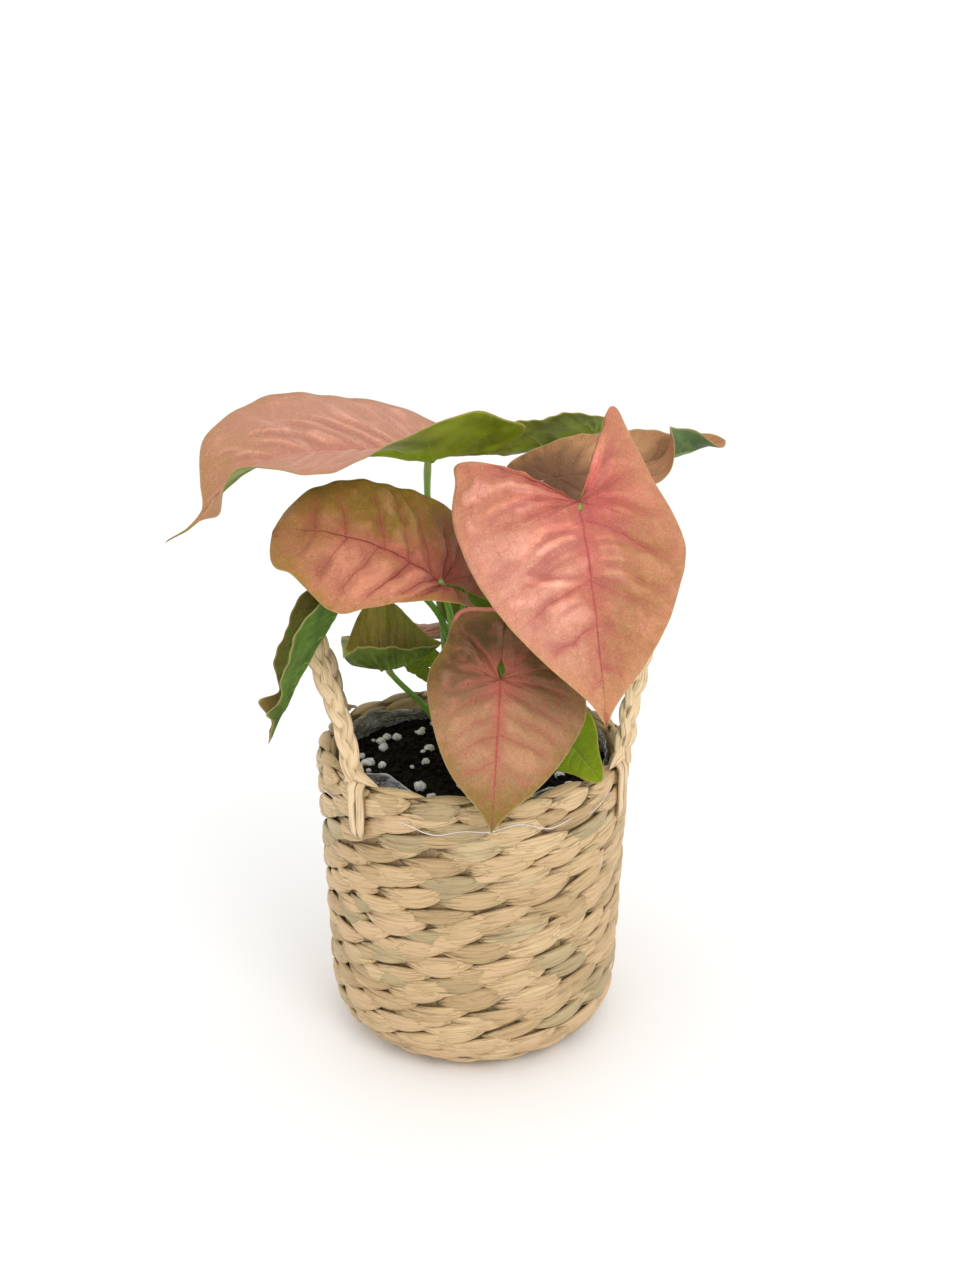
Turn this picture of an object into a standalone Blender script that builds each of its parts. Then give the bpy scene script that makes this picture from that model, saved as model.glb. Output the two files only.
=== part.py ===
"""Arrowhead plant: fifteen pink leaves on stalks, in soil, in a lined woven basket with two handles.

Metres, +Z up. The middle of the basket's base is the origin and the front of the plant looks along -Y.
Lengths are written in millimetres and turned to metres with MM.
"""
import math
import random
from itertools import product

import bmesh
import bpy
import numpy as np
from mathutils import Matrix, Vector

MM = 0.001
GAP = 0.3

# Basket
RIM_RADIUS = 75
RIM_HEIGHT = 142
LOW_RADIUS = 71
CORNER_RADIUS = 22
WALL = 8
FLOOR = 6.5
INNER_CORNER = (13, 4)
INNER_CORNER_RISE = (4, 18)
RIM_BEVEL = 1.2
COLUMNS = 48
ROWS = 18
STITCHES = 16
STITCH_RELIEF = 2.2

# Liner, soil and thread
LINER_WALL = 0.6
LINER_TOP = 137
LINER_EDGE_WAVE = (1.2, 0.8)
LINER_CRINKLE = 1.6
SOIL_TOP = 128
SOIL_RINGS = (55, 46, 36, 25, 12)
CRUMB_HEIGHT = 1.1
PERLITE_GRAINS = 26
PERLITE_RADIUS = (1.6, 2.7)
PERLITE_REACH = 60
PERLITE_SEED = 7
THREAD_RADIUS = 0.5
THREAD_HEIGHT = 128
THREAD_WAVE = 1.6
THREAD_WAVES = 8

# Handles
HANDLE_HALF_CHORD = 40
HANDLE_RISE = 61
HANDLE_FOOT_X = 58
HANDLE_LEAN = {-1: 21, 1: 23}
HANDLE_TURN = 11
HANDLE_STEPS = 40
HANDLE_SIDES = 9
STRAND_RADIUS = 2.5
STRAND_SWING = 3.0
BRAID_LIFT = 3.0
BRAID_PITCH = 22
TAIL_RADIUS = 2.3
TAIL_DEPTH = 1.5
TAIL_DROP = 24
TAIL_SPREAD = 2.2

# Leaves
BLADE_THICKNESS = 0.8
LOBE_RAYS = 4
RIB_STEPS = 9
BLADE_COLUMNS = 3
RAY_LEAN = 0.22
STALK_SIDES = 6
STALK_RINGS = 9
HOLE_DEPTH = 12
HOLE_CLEARANCE = 0.3
DRILL_LENGTH = 20
DRILL_SIDES = 8

LEAF = dict(
    width=(35, 35),
    lobe=(30, 30),
    lobe_angle=(32, 32),
    cleft=(20, 20),
    cleft_reach=(0.7, 0.7),
    bulge=(0.14, 0.14),
    widest=(0.16, 0.16),
    taper=(1.0, 1.0),
    tail=0.0,
    blunt=0.0,
    droop=20,
    droop_power=1.4,
    recurve=0,
    lobe_droop=15,
    fold=(12, 12),
    base_fold=(0, 0),
    tip_fold=(0, 0),
    curl=(-20, -20),
    base_curl=(0, 0),
    wave=0.8,
    waves=3.5,
)


def leaf(at, tip, across, **shape):
    """A leaf from where its stalk meets it (at) to its tip, in mm. across points from right edge to left.

    Pairs hold the left half and then the right half. Lengths are in mm and bends in degrees: droop
    bends the rib down to the tip, recurve lifts its end again, fold lifts a half from the rib, and curl
    bends that half on to its edge.
    """
    return {**LEAF, "at": at, "tip": tip, "across": across, **shape}


LEAVES = {
    "top_left": leaf(
        at=(-18, 2, 275), tip=(-131, -35, 244), across=(0, -60, -8), width=(37, 46), lobe=(40, 36),
        lobe_angle=(36, 32), widest=(0.15, 0.42), taper=(1, 1.6), tail=0.16, droop=115, droop_power=2.6,
        recurve=75, lobe_droop=-8, fold=(-3, 27), base_fold=(45, -6), tip_fold=(-30, 14), curl=(0, -5),
        base_curl=(20, 0),
    ),
    "top_middle": leaf(
        at=(59, 46, 282), tip=(-9, 40, 271), across=(0, -30, 14), width=(26, 20), lobe=(13, 13),
        widest=(0.5, 0.3), taper=(1.2, 0.9), droop=-10, fold=(5, 5), curl=(10, 10),
    ),
    "centre_left": leaf(
        at=(-12, -45, 229), tip=(-83, -46, 251), across=(4, -45, -42), width=(34, 39), lobe=(19, 40),
        lobe_angle=(15, 46), cleft=(6, 16), bulge=(-0.03, 0.14), widest=(0.46, 0.2), taper=(1.4, 1.5),
        blunt=0.35, droop=70, droop_power=1.6, fold=(0, 0), base_fold=(30, 0), curl=(-20, -15),
    ),
    "front_right": leaf(
        at=(44, -48, 264), tip=(54, -86, 178), across=(90, 10, 0), width=(42, 51), lobe=(49, 50),
        lobe_angle=(24, 62), cleft=(14, 56), widest=(0.22, 0.16), taper=(1, 0.95), droop=25, fold=(4, 4),
        curl=(-20, -30),
    ),
    "front_low": leaf(
        at=(12, -60, 191), tip=(8, -84, 132), across=(67, 0, -5), width=(37, 31), lobe=(30, 34),
        lobe_angle=(30, 34), cleft=(1, 1), cleft_reach=(0.9, 0.9), bulge=(0.1, -0.02), widest=(0.16, 0.02),
        taper=(1.05, 1.25), lobe_droop=-22, fold=(5, 5),
    ),
    "inner": leaf(
        at=(-4, 6, 213), tip=(16, -6, 168), across=(-40, -6, -17), width=(14, 26), lobe=(12, 16),
        droop=-15,
    ),
    "rolled_left": leaf(
        at=(-57, -52, 220), tip=(-87, -60, 162), across=(28, -38, -8), width=(22, 15), lobe=(13, 13),
        droop=12, droop_power=1.0, fold=(55, 62), curl=(12, 14),
    ),
    "cupped": leaf(
        at=(-42, -8, 179), tip=(-14, -17, 194), across=(-6, 40, 6), width=(32, 24), lobe=(30, 23),
        droop=-20, lobe_droop=-12, fold=(50, 55), curl=(0, 20),
    ),
    "small_left": leaf(
        at=(-23, 22, 170), tip=(-43, 20, 180), across=(-3, -20, -8), width=(12, 12), lobe=(10, 10),
        droop=10,
    ),
    "top_right": leaf(
        at=(38, 0, 266), tip=(120, 34, 279), across=(0, 40, 24), width=(20, 26), lobe=(23, 36),
        lobe_angle=(36, 36), cleft=(12, 8), bulge=(0.08, 0.14), widest=(0.45, 0.3), droop=-10,
        lobe_droop=30, fold=(4, 5), tip_fold=(45, 95), curl=(20, 30),
    ),
    "small_right": leaf(
        at=(39, -33, 157), tip=(56, -57, 143), across=(20, 5, 20), width=(14, 14), lobe=(10, 10), droop=10,
    ),
    "back_upper": leaf(
        at=(8, 52, 236), tip=(-22, 116, 205), across=(-60, -20, 0), width=(36, 38), droop=55, fold=(10, 10),
    ),
    "back_right": leaf(
        at=(48, 46, 214), tip=(92, 92, 184), across=(-40, 40, 0), width=(28, 29), lobe=(24, 24), droop=50,
    ),
    "back_left": leaf(
        at=(-31, 42, 179), tip=(-72, 84, 154), across=(-50, -40, 0), width=(26, 26), lobe=(22, 22),
        droop=45,
    ),
    "back_low": leaf(
        at=(13, 62, 182), tip=(25, 108, 146), across=(-50, 10, 4), width=(25, 27), lobe=(22, 23), droop=40,
    ),
}


def stalk(foot, rise, bend, radius):
    """A stalk from its foot in the soil (x, y), up by rise, past bend, to the leaf of the same name."""
    return {"foot": foot, "rise": rise, "bend": bend, "radius": radius}


STALKS = {
    "top_left": stalk(foot=(-10, 16), rise=60, bend=(-24, 8, 236), radius=1.8),
    "top_middle": stalk(foot=(12, 24), rise=60, bend=(62, 52, 246), radius=1.6),
    "centre_left": stalk(foot=(-8, -4), rise=45, bend=(-6, -26, 206), radius=1.8),
    "front_right": stalk(foot=(18, 4), rise=60, bend=(34, -18, 242), radius=1.9),
    "front_low": stalk(foot=(6, -9), rise=36, bend=(10, -42, 184), radius=1.6),
    "inner": stalk(foot=(-1, -13), rise=40, bend=(-8, -16, 204), radius=1.3),
    "rolled_left": stalk(foot=(-4, 12), rise=88, bend=(-34, -14, 232), radius=1.5),
    "cupped": stalk(foot=(-15, 13), rise=22, bend=(-34, 0, 164), radius=1.6),
    "small_left": stalk(foot=(-12, 25), rise=14, bend=(-17, 26, 150), radius=1.2),
    "top_right": stalk(foot=(19, 15), rise=70, bend=(32, 12, 246), radius=1.7),
    "small_right": stalk(foot=(17, -6), rise=20, bend=(28, -22, 158), radius=1.3),
    "back_upper": stalk(foot=(3, 27), rise=50, bend=(4, 46, 208), radius=1.8),
    "back_right": stalk(foot=(11, 33), rise=44, bend=(36, 42, 200), radius=1.7),
    "back_left": stalk(foot=(-5, 34), rise=32, bend=(-16, 42, 172), radius=1.4),
    "back_low": stalk(foot=(4, 36), rise=36, bend=(12, 54, 164), radius=1.4),
}

LEAF_COLOURS = {
    "top_left": (0.72, 0.42, 0.33),
    "top_middle": (0.30, 0.38, 0.08),
    "centre_left": (0.50, 0.25, 0.14),
    "front_right": (0.80, 0.38, 0.26),
    "front_low": (0.52, 0.29, 0.17),
    "inner": (0.24, 0.26, 0.06),
    "rolled_left": (0.16, 0.20, 0.06),
    "cupped": (0.27, 0.24, 0.08),
    "small_left": (0.10, 0.16, 0.05),
    "top_right": (0.42, 0.24, 0.13),
    "small_right": (0.25, 0.42, 0.08),
    "back_upper": (0.66, 0.36, 0.26),
    "back_right": (0.55, 0.30, 0.19),
    "back_left": (0.30, 0.30, 0.10),
    "back_low": (0.45, 0.27, 0.14),
}
STALK_COLOUR = (0.26, 0.42, 0.08)
BASKET_COLOUR = (0.66, 0.50, 0.30)
BRAID_COLOUR = (0.72, 0.56, 0.36)
LINER_COLOUR = (0.80, 0.82, 0.84)
SOIL_COLOUR = (0.02, 0.016, 0.013)
THREAD_COLOUR = (0.85, 0.80, 0.80)


def remove_scene_objects():
    for old in list(bpy.data.objects):
        bpy.data.objects.remove(old, do_unlink=True)


def material(name, colour, roughness, alpha=1.0):
    new = bpy.data.materials.new(name)
    new.use_nodes = True
    shader = new.node_tree.nodes["Principled BSDF"]
    shader.inputs["Base Color"].default_value = (*colour, 1.0)
    shader.inputs["Roughness"].default_value = roughness
    shader.inputs["Metallic"].default_value = 0.0
    shader.inputs["Alpha"].default_value = alpha
    new.diffuse_color = (*colour, alpha)
    return new


def add_object(name, points, faces, colour, roughness=0.6, alpha=1.0):
    """An object from points in mm, with its normals facing out."""
    mesh = bpy.data.meshes.new(name)
    mesh.from_pydata([Vector(point) * MM for point in points], [], faces)
    body = bmesh.new()
    body.from_mesh(mesh)
    bmesh.ops.triangulate(body, faces=[face for face in body.faces if len(face.verts) > 3])
    bmesh.ops.recalc_face_normals(body, faces=body.faces)
    body.to_mesh(mesh)
    body.free()
    mesh.shade_smooth()
    mesh.set_sharp_from_angle(angle=math.radians(50))
    mesh.materials.append(material(name, colour, roughness, alpha))
    thing = bpy.data.objects.new(name, mesh)
    bpy.context.scene.collection.objects.link(thing)
    return thing


def cut(target, tools, operation="DIFFERENCE"):
    """Cuts or joins plain helper meshes and removes them."""
    for tool in tools:
        change = target.modifiers.new(tool.name, "BOOLEAN")
        change.operation = operation
        change.object = tool
        tool.hide_render = True
        tool.display_type = "WIRE"
    bpy.context.view_layer.update()
    shape = bpy.data.meshes.new_from_object(target.evaluated_get(bpy.context.evaluated_depsgraph_get()))
    target.modifiers.clear()
    target.data = shape
    for tool in tools:
        bpy.data.objects.remove(tool, do_unlink=True)


def ring_faces(first, second, count):
    """Quads between two closed rings of points that start at these numbers."""
    return [
        (first + k, first + (k + 1) % count, second + (k + 1) % count, second + k) for k in range(count)
    ]


def turned_shape(rings, count):
    """Points and faces of stacked closed rings with a fan at each end."""
    points = [point for ring in rings for point in ring]
    faces = []
    for k in range(len(rings) - 1):
        faces += ring_faces(k * count, (k + 1) * count, count)
    low, high = len(points), len(points) + 1
    last = (len(rings) - 1) * count
    points.append(np.mean(rings[0], axis=0))
    points.append(np.mean(rings[-1], axis=0))
    for k in range(count):
        faces.append((low, (k + 1) % count, k))
        faces.append((high, last + k, last + (k + 1) % count))
    return points, faces


# Basket, liner and soil


def circle(radius, height, count=COLUMNS):
    """A ring of points. radius and height are numbers or functions of the angle."""
    ring = []
    for k in range(count):
        angle = 2 * math.pi * k / count
        r = radius(angle) if callable(radius) else radius
        z = height(angle) if callable(height) else height
        ring.append((r * math.cos(angle), r * math.sin(angle), z))
    return ring


def outer_profile(travel):
    """Radius, height and outward direction at a distance up the wall from the edge of the flat base."""
    corner_length = CORNER_RADIUS * math.pi / 2
    if travel < corner_length:
        angle = travel / CORNER_RADIUS
        r = LOW_RADIUS - CORNER_RADIUS + CORNER_RADIUS * math.sin(angle)
        z = CORNER_RADIUS * (1 - math.cos(angle))
        return r, z, math.sin(angle), -math.cos(angle)
    rise = (travel - corner_length) / wall_length()
    r = LOW_RADIUS + (RIM_RADIUS - LOW_RADIUS) * rise
    z = CORNER_RADIUS + (RIM_HEIGHT - CORNER_RADIUS) * rise
    return r, z, 1.0, 0.0


def wall_length():
    return math.hypot(RIM_HEIGHT - CORNER_RADIUS, RIM_RADIUS - LOW_RADIUS)


def inner_profile(inset):
    """Radius and height of the hollow, from the middle of its floor to the rim, set in by a distance."""
    base = LOW_RADIUS - WALL
    slope = inset * math.sqrt(0.5)
    return [
        (base - INNER_CORNER[0], FLOOR + inset),
        (base - INNER_CORNER[1] - slope, FLOOR + INNER_CORNER_RISE[0] + slope),
        (base - inset, INNER_CORNER_RISE[1]),
        (RIM_RADIUS - WALL - inset, RIM_HEIGHT),
    ]


def hollow_radius(height, inset):
    """Radius of the hollow at a height above its rounded floor edge, set in by a distance."""
    (low_r, low_z), (top_r, top_z) = inner_profile(inset)[-2:]
    return low_r + (top_r - low_r) * (height - low_z) / (top_z - low_z)


def make_basket():
    """A woven wall: each row stands out in leaning stitches and falls back to a groove above it."""
    row_length = (CORNER_RADIUS * math.pi / 2 + wall_length() - STITCH_RELIEF) / ROWS
    rings = []
    for row in range(ROWS):
        for part in (0.0, 0.5):
            r, z, out, down = outer_profile((row + part) * row_length)
            lift = 0 if part == 0 else STITCH_RELIEF

            def stitch(angle, row=row, lift=lift):
                turn = STITCHES * angle / 2 + math.pi * row / 3
                return lift * (0.1 + 0.9 * math.cos(turn) ** 2)

            rings.append(circle(
                lambda angle: r - STITCH_RELIEF + out * stitch(angle),
                lambda angle: z + down * stitch(angle) * (row > 0),
            ))
    rings.append(circle(RIM_RADIUS - RIM_BEVEL, RIM_HEIGHT - STITCH_RELIEF))
    rings.append(circle(RIM_RADIUS - WALL / 2, RIM_HEIGHT))
    for r, z in reversed(inner_profile(0)):
        rings.append(circle(r, min(z, RIM_HEIGHT - RIM_BEVEL)))
    points, faces = turned_shape(rings, COLUMNS)
    return add_object("basket", points, faces, BASKET_COLOUR, 0.75)


def make_liner():
    """A thin film cup, crinkled where it stands free above the soil."""
    outside, inside = inner_profile(GAP), inner_profile(GAP + LINER_WALL)

    def top_height(angle):
        slow, quick = LINER_EDGE_WAVE
        return LINER_TOP + slow * math.sin(5 * angle + 0.6) + quick * math.sin(11 * angle)

    def top_radius(inset):
        def radius(angle):
            crinkle = 0.5 + 0.5 * math.sin(9 * angle) * math.cos(4 * angle + 1.0)
            return hollow_radius(top_height(angle), inset) - LINER_CRINKLE * crinkle

        return radius

    def crease_height(inset):
        return circle(hollow_radius(SOIL_TOP + 1, inset), SOIL_TOP + 1)

    rings = [circle(r, z) for r, z in outside[:-1]]
    rings += [crease_height(GAP), circle(top_radius(GAP), top_height)]
    rings += [circle(top_radius(GAP + LINER_WALL), top_height), crease_height(GAP + LINER_WALL)]
    rings += [circle(r, z) for r, z in reversed(inside[:-1])]
    points, faces = turned_shape(rings, COLUMNS)
    return add_object("liner", points, faces, LINER_COLOUR, 0.15, 0.35)


def soil_height(x, y):
    """Crumbly ground, level at the liner."""
    roll = math.sin(x * 0.41 + 1.0) * math.cos(y * 0.37) + 0.6 * math.sin(x * 0.93 - y * 0.71)
    level = max(0.0, 1 - math.hypot(x, y) / 63)
    return SOIL_TOP + CRUMB_HEIGHT * roll * min(1.0, 3 * level)


def make_soil():
    """A plug of soil with crumbs and perlite in its top and a plain hole for each stalk."""
    inset = 2 * GAP + LINER_WALL
    rings = [circle(r, z) for r, z in inner_profile(inset)[:-1]]
    rings.append(circle(hollow_radius(SOIL_TOP, inset), SOIL_TOP))
    for r in SOIL_RINGS:
        rings.append([(x, y, soil_height(x, y)) for x, y, z in circle(r, 0)])
    points, faces = turned_shape(rings, COLUMNS)
    soil = add_object("soil", points, faces, SOIL_COLOUR, 0.95)
    cut(soil, [perlite()], "UNION")
    cut(soil, [stalk_holes()])
    return soil


def perlite():
    """Scattered pale grains, half sunk in the soil, clear of each other and of the stalks."""
    rng = random.Random(PERLITE_SEED)
    places = []
    while len(places) < PERLITE_GRAINS:
        distance, angle = PERLITE_REACH * math.sqrt(rng.random()), rng.uniform(0, 2 * math.pi)
        x, y = distance * math.cos(angle), distance * math.sin(angle)
        size = rng.uniform(*PERLITE_RADIUS)
        clear_of_stalks = all(math.dist((x, y), s["foot"]) > size + 3.5 for s in STALKS.values())
        clear_of_grains = all(math.dist((x, y), place[:2]) > size + place[2] + 1 for place in places)
        if clear_of_stalks and clear_of_grains:
            places.append((x, y, size))
    grains = bmesh.new()
    for x, y, size in places:
        spin = Matrix.Rotation(rng.uniform(0, math.pi), 4, Vector((rng.random(), rng.random(), 1)))
        place = Matrix.Translation(Vector((x, y, soil_height(x, y) + 0.25 * size)) * MM)
        grain = bmesh.ops.create_icosphere(grains, subdivisions=1, radius=size * MM)
        bmesh.ops.transform(grains, matrix=place @ spin, verts=grain["verts"])
    return helper("perlite_grains", grains)


def stalk_holes():
    drills = bmesh.new()
    for one in STALKS.values():
        middle = SOIL_TOP - HOLE_DEPTH + DRILL_LENGTH / 2
        place = Matrix.Translation(Vector((*one["foot"], middle)) * MM)
        r = (one["radius"] + HOLE_CLEARANCE) / math.cos(math.pi / DRILL_SIDES) * MM
        bmesh.ops.create_cone(
            drills, cap_ends=True, segments=DRILL_SIDES, radius1=r, radius2=r, depth=DRILL_LENGTH * MM,
            matrix=place,
        )
    return helper("stalk_drills", drills)


def helper(name, body):
    mesh = bpy.data.meshes.new(name)
    body.to_mesh(mesh)
    body.free()
    thing = bpy.data.objects.new(name, mesh)
    bpy.context.scene.collection.objects.link(thing)
    return thing


def make_thread():
    """A clear thread that runs around the basket, a little up and down over the stitches."""
    outside = RIM_RADIUS - 0.6 + GAP + THREAD_RADIUS
    centre = circle(outside, lambda angle: THREAD_HEIGHT + THREAD_WAVE * math.sin(THREAD_WAVES * angle))
    points = []
    for x, y, z in centre:
        for corner in range(4):
            turn = math.pi / 2 * corner
            r = outside + THREAD_RADIUS * math.cos(turn)
            scale = r / outside
            points.append((x * scale, y * scale, z + THREAD_RADIUS * math.sin(turn)))
    faces = []
    for k in range(COLUMNS):
        faces += ring_faces(4 * k, 4 * ((k + 1) % COLUMNS), 4)
    return add_object("wrap_thread", points, faces, THREAD_COLOUR, 0.2, 0.6)


# Handles


def handle_centre(share, side):
    """A point of the arch from its front foot (0) to its back foot (1). side is -1 left, +1 right."""
    angle = math.pi * share
    x = HANDLE_FOOT_X + HANDLE_LEAN[side] * math.sin(angle)
    y = -HANDLE_HALF_CHORD * math.cos(angle)
    z = RIM_HEIGHT + GAP + BRAID_LIFT + HANDLE_RISE * math.sin(angle) ** 0.9
    return handle_turn() @ Vector((side * x, y, z))


def handle_turn():
    """The handles sit a little round from the basket's sides, the left one nearer the front."""
    return Matrix.Rotation(math.radians(HANDLE_TURN), 3, "Z")


def braid_outline(travel, count):
    """Outer edge of three strands that pass over and under each other, at a distance along them."""
    turn = 2 * math.pi * travel / BRAID_PITCH
    centres = []
    for strand in range(3):
        phase = turn + 2 * math.pi * strand / 3
        centres.append((STRAND_SWING * math.sin(phase), 0.45 * STRAND_SWING * math.sin(2 * phase)))
    outline = []
    for k in range(count):
        angle = 2 * math.pi * k / count
        ray = (math.cos(angle), math.sin(angle))
        reach = 0.6 * STRAND_RADIUS
        for a, b in centres:
            ahead = a * ray[0] + b * ray[1]
            off = abs(a * ray[1] - b * ray[0])
            if off < STRAND_RADIUS:
                reach = max(reach, ahead + math.sqrt(STRAND_RADIUS**2 - off**2))
        outline.append((reach * ray[0], reach * ray[1]))
    return outline


def swept(route, outlines, side_way):
    """Points and faces of outlines carried along a route. side_way is the first axis of each outline."""
    rings = []
    for k, point in enumerate(route):
        ahead = route[min(k + 1, len(route) - 1)] - route[max(k - 1, 0)]
        ahead.normalize()
        first = (side_way - ahead * side_way.dot(ahead)).normalized()
        second = ahead.cross(first)
        rings.append([tuple(point + first * a + second * b) for a, b in outlines[k]])
    return turned_shape(rings, len(outlines[0]))


def make_handle(name, side):
    """A braided arch on the rim, with two strand ends at each foot that run down outside the wall."""
    route = [handle_centre(k / HANDLE_STEPS, side) for k in range(HANDLE_STEPS + 1)]
    travel = [0.0]
    for a, b in zip(route, route[1:]):
        travel.append(travel[-1] + (b - a).length)
    outlines = [braid_outline(distance, HANDLE_SIDES) for distance in travel]
    side_way = handle_turn() @ Vector((0.25 * side, 0, 1)).cross(Vector((0, 1, 0)))
    points, faces = swept(route, outlines, side_way)
    handle = add_object(name, points, faces, BRAID_COLOUR, 0.7)
    tails = []
    for end in (0, 1):
        for strand in (-1, 1):
            tails.append(make_tail(handle_centre(end, side), strand))
    cut(handle, tails, "UNION")
    return handle


def make_tail(foot, strand):
    """One strand end: out over the rim and down the outside of the wall."""
    angle = math.atan2(foot.y, foot.x) + strand * math.radians(TAIL_SPREAD)
    clear = RIM_RADIUS + GAP + TAIL_DEPTH + 0.2
    out = Vector((math.cos(angle), math.sin(angle), 0))
    over = RIM_HEIGHT + GAP + TAIL_DEPTH
    start = out * (foot.xy.length - 1) + Vector((0, 0, over + 0.4))
    route = [
        start,
        out * (clear - 3.5) + Vector((0, 0, over + 0.3)),
        out * (clear - 0.9) + Vector((0, 0, over - 1.2)),
        out * clear + Vector((0, 0, over - 4)),
        out * clear + Vector((0, 0, RIM_HEIGHT - TAIL_DROP)),
    ]
    ring = [
        (TAIL_RADIUS * math.cos(math.pi * k / 3), TAIL_DEPTH * math.sin(math.pi * k / 3)) for k in range(6)
    ]
    points, faces = swept(route, [ring] * len(route), Vector((-out.y, out.x, 0)))
    return add_object(f"tail_{strand}", points, faces, BRAID_COLOUR)


# Leaf shape


def smooth_curve(points):
    """A smooth curve through the points, as many close points."""
    p = np.array(points, float)
    p = np.vstack([2 * p[0] - p[1], p, 2 * p[-1] - p[-2]])
    t = np.linspace(0, 1, 24, endpoint=False)[:, None]
    pieces = [
        0.5 * (2 * b + (c - a) * t + (2 * a - 5 * b + 4 * c - d) * t**2 + (3 * b - a - 3 * c + d) * t**3)
        for a, b, c, d in zip(p[:-3], p[1:-2], p[2:-1], p[3:])
    ]
    return np.vstack([*pieces, p[-2][None]])


def margin(leaf, side, length):
    """Flat edge of one half in leaf lengths, from the cleft behind the stalk round the lobe to the tip."""
    width, lobe = leaf["width"][side] / length, leaf["lobe"][side] / length
    widest, taper = leaf["widest"][side], leaf["taper"][side]

    def behind(distance, degrees):
        turn = math.radians(degrees)
        return np.array((-distance * math.cos(turn), distance * math.sin(turn)))

    apex, broad = behind(lobe, leaf["lobe_angle"][side]), np.array((widest, width))
    run = broad - apex
    shoulder = (apex + broad) / 2 + leaf["bulge"][side] * np.array((-run[1], run[0]))
    tip_length = 1 - leaf["tail"] - widest
    return smooth_curve([
        behind(leaf["cleft_reach"][side] * lobe, leaf["cleft"][side]),
        apex,
        shoulder,
        broad,
        (widest + 0.33 * tip_length, 0.81 * width * (0.7 + 0.3 * taper)),
        (widest + 0.62 * tip_length, 0.49 * width * taper),
        (widest + 0.84 * tip_length, (0.175 + 0.3 * leaf["blunt"]) * width * taper),
        (widest + 0.95 * tip_length, (0.05 + 0.22 * leaf["blunt"]) * width * taper),
        (1.0, 0.0),
    ])


def ray_ends(leaf, side, length):
    """Where each ray meets the edge, and where it leaves the rib: lobe rays first, then rib steps."""
    edge = margin(leaf, side, length)
    turn = int(np.argmax(edge[:, 0] > RAY_LEAN))
    steps = np.linspace(0, 1, RIB_STEPS + 1)
    lobe, blade = edge[: turn + 1], edge[turn - 1:]
    run = np.concatenate([[0], np.cumsum(np.linalg.norm(np.diff(lobe, axis=0), axis=1))])
    along = np.linspace(0, run[-1], LOBE_RAYS + 1)[:-1]
    lobe_ends = np.stack([np.interp(along, run, lobe[:, k]) for k in (0, 1)], -1)
    x = RAY_LEAN + (1 - RAY_LEAN) * steps
    blade_ends = np.stack([x, np.interp(x, blade[:, 0], blade[:, 1])], -1)
    blade_ends[-1] = (1.0, 0.0)
    starts = np.concatenate([np.zeros(LOBE_RAYS), steps])
    return np.vstack([lobe_ends, blade_ends]), np.stack([starts, np.zeros_like(starts)], -1)


def ease(x, low, high):
    t = np.clip((x - low) / (high - low), 0, 1)
    return t * t * (3 - 2 * t)


RIB_GRID = np.linspace(-0.9, 1.05, 196)


def rib(leaf):
    """The bent midrib in leaf lengths: points, left and up directions over RIB_GRID."""
    ahead, behind = np.clip(RIB_GRID, 0, None), np.clip(-RIB_GRID, 0, None)
    bend = math.radians(leaf["droop"]) * ahead ** leaf["droop_power"]
    bend -= math.radians(leaf["recurve"]) * ease(ahead, 0.78, 1.0)
    bend -= math.radians(leaf["lobe_droop"]) * (behind / 0.4) ** 1.2
    zero = np.zeros_like(bend)
    step = np.stack([np.cos(bend), zero, -np.sin(bend)], -1)
    up = np.stack([np.sin(bend), zero, np.cos(bend)], -1)
    pieces = (step[1:] + step[:-1]) / 2 * np.diff(RIB_GRID)[:, None]
    points = np.vstack([np.zeros(3), np.cumsum(pieces, axis=0)])
    points -= at_rib(points, 0.0)
    return points, np.cross(up, step), up


def at_rib(values, x):
    return np.stack([np.interp(x, RIB_GRID, values[:, k]) for k in range(3)], -1)


def axes(along, across):
    x = along / np.linalg.norm(along)
    y = across - (across @ x) * x
    y = y / np.linalg.norm(y)
    return np.stack([x, y, np.cross(x, y)], -1)


def cross_section(leaf, side, length, x, y):
    """How far out and how high a point of the half lies, once the half is folded and curled."""
    base, tip = 1 - ease(x, -0.2, 0.55), ease(x, 0.45, 1.0)
    fold = leaf["fold"][side] + leaf["base_fold"][side] * base + leaf["tip_fold"][side] * tip
    curl = leaf["curl"][side] + leaf["base_curl"][side] * base
    share = (np.arange(16) + 0.5) / 16
    reach = y[..., None] * share * length / leaf["width"][side]
    angle = np.radians(fold)[..., None] + np.radians(curl)[..., None] * reach**1.5
    return y * np.cos(angle).mean(-1), y * np.sin(angle).mean(-1)


def placed(leaf):
    """The bent rib, its length in mm and the turn that lays its two ends on at and tip."""
    at, tip, across = (np.array(leaf[key], float) for key in ("at", "tip", "across"))
    points, left, up = rib(leaf)
    chord = at_rib(points, 1.0)
    length = np.linalg.norm(tip - at) / np.linalg.norm(chord)
    turn = axes(tip - at, across) @ axes(chord, np.array([0.0, 1.0, 0.0])).T
    return (points, left, up), length, turn


def half_surface(leaf, side):
    """Points in mm of one half of the blade, by ray and then by step from the rib to the edge."""
    (points, left, up), length, turn = placed(leaf)
    ends, starts = ray_ends(leaf, side, length)
    t = np.linspace(0, 1, BLADE_COLUMNS + 1)[None, :, None]
    flat = starts[:, None] + (ends - starts)[:, None] * t
    x, y = flat[..., 0], flat[..., 1]
    out, rise = cross_section(leaf, side, length, x, y)
    s = np.linspace(0, 1, len(ends))[:, None]
    wave = leaf["wave"] / length * np.sin(2 * math.pi * (leaf["waves"] * s + 0.37 * side))
    rise = rise + wave * t[..., 0] ** 2 * np.sin(math.pi * s) ** 0.5
    sign = 1 if side == 0 else -1
    local = at_rib(points, x) + sign * out[..., None] * at_rib(left, x) + rise[..., None] * at_rib(up, x)
    return np.array(leaf["at"]) + length * (local @ turn.T)


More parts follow.
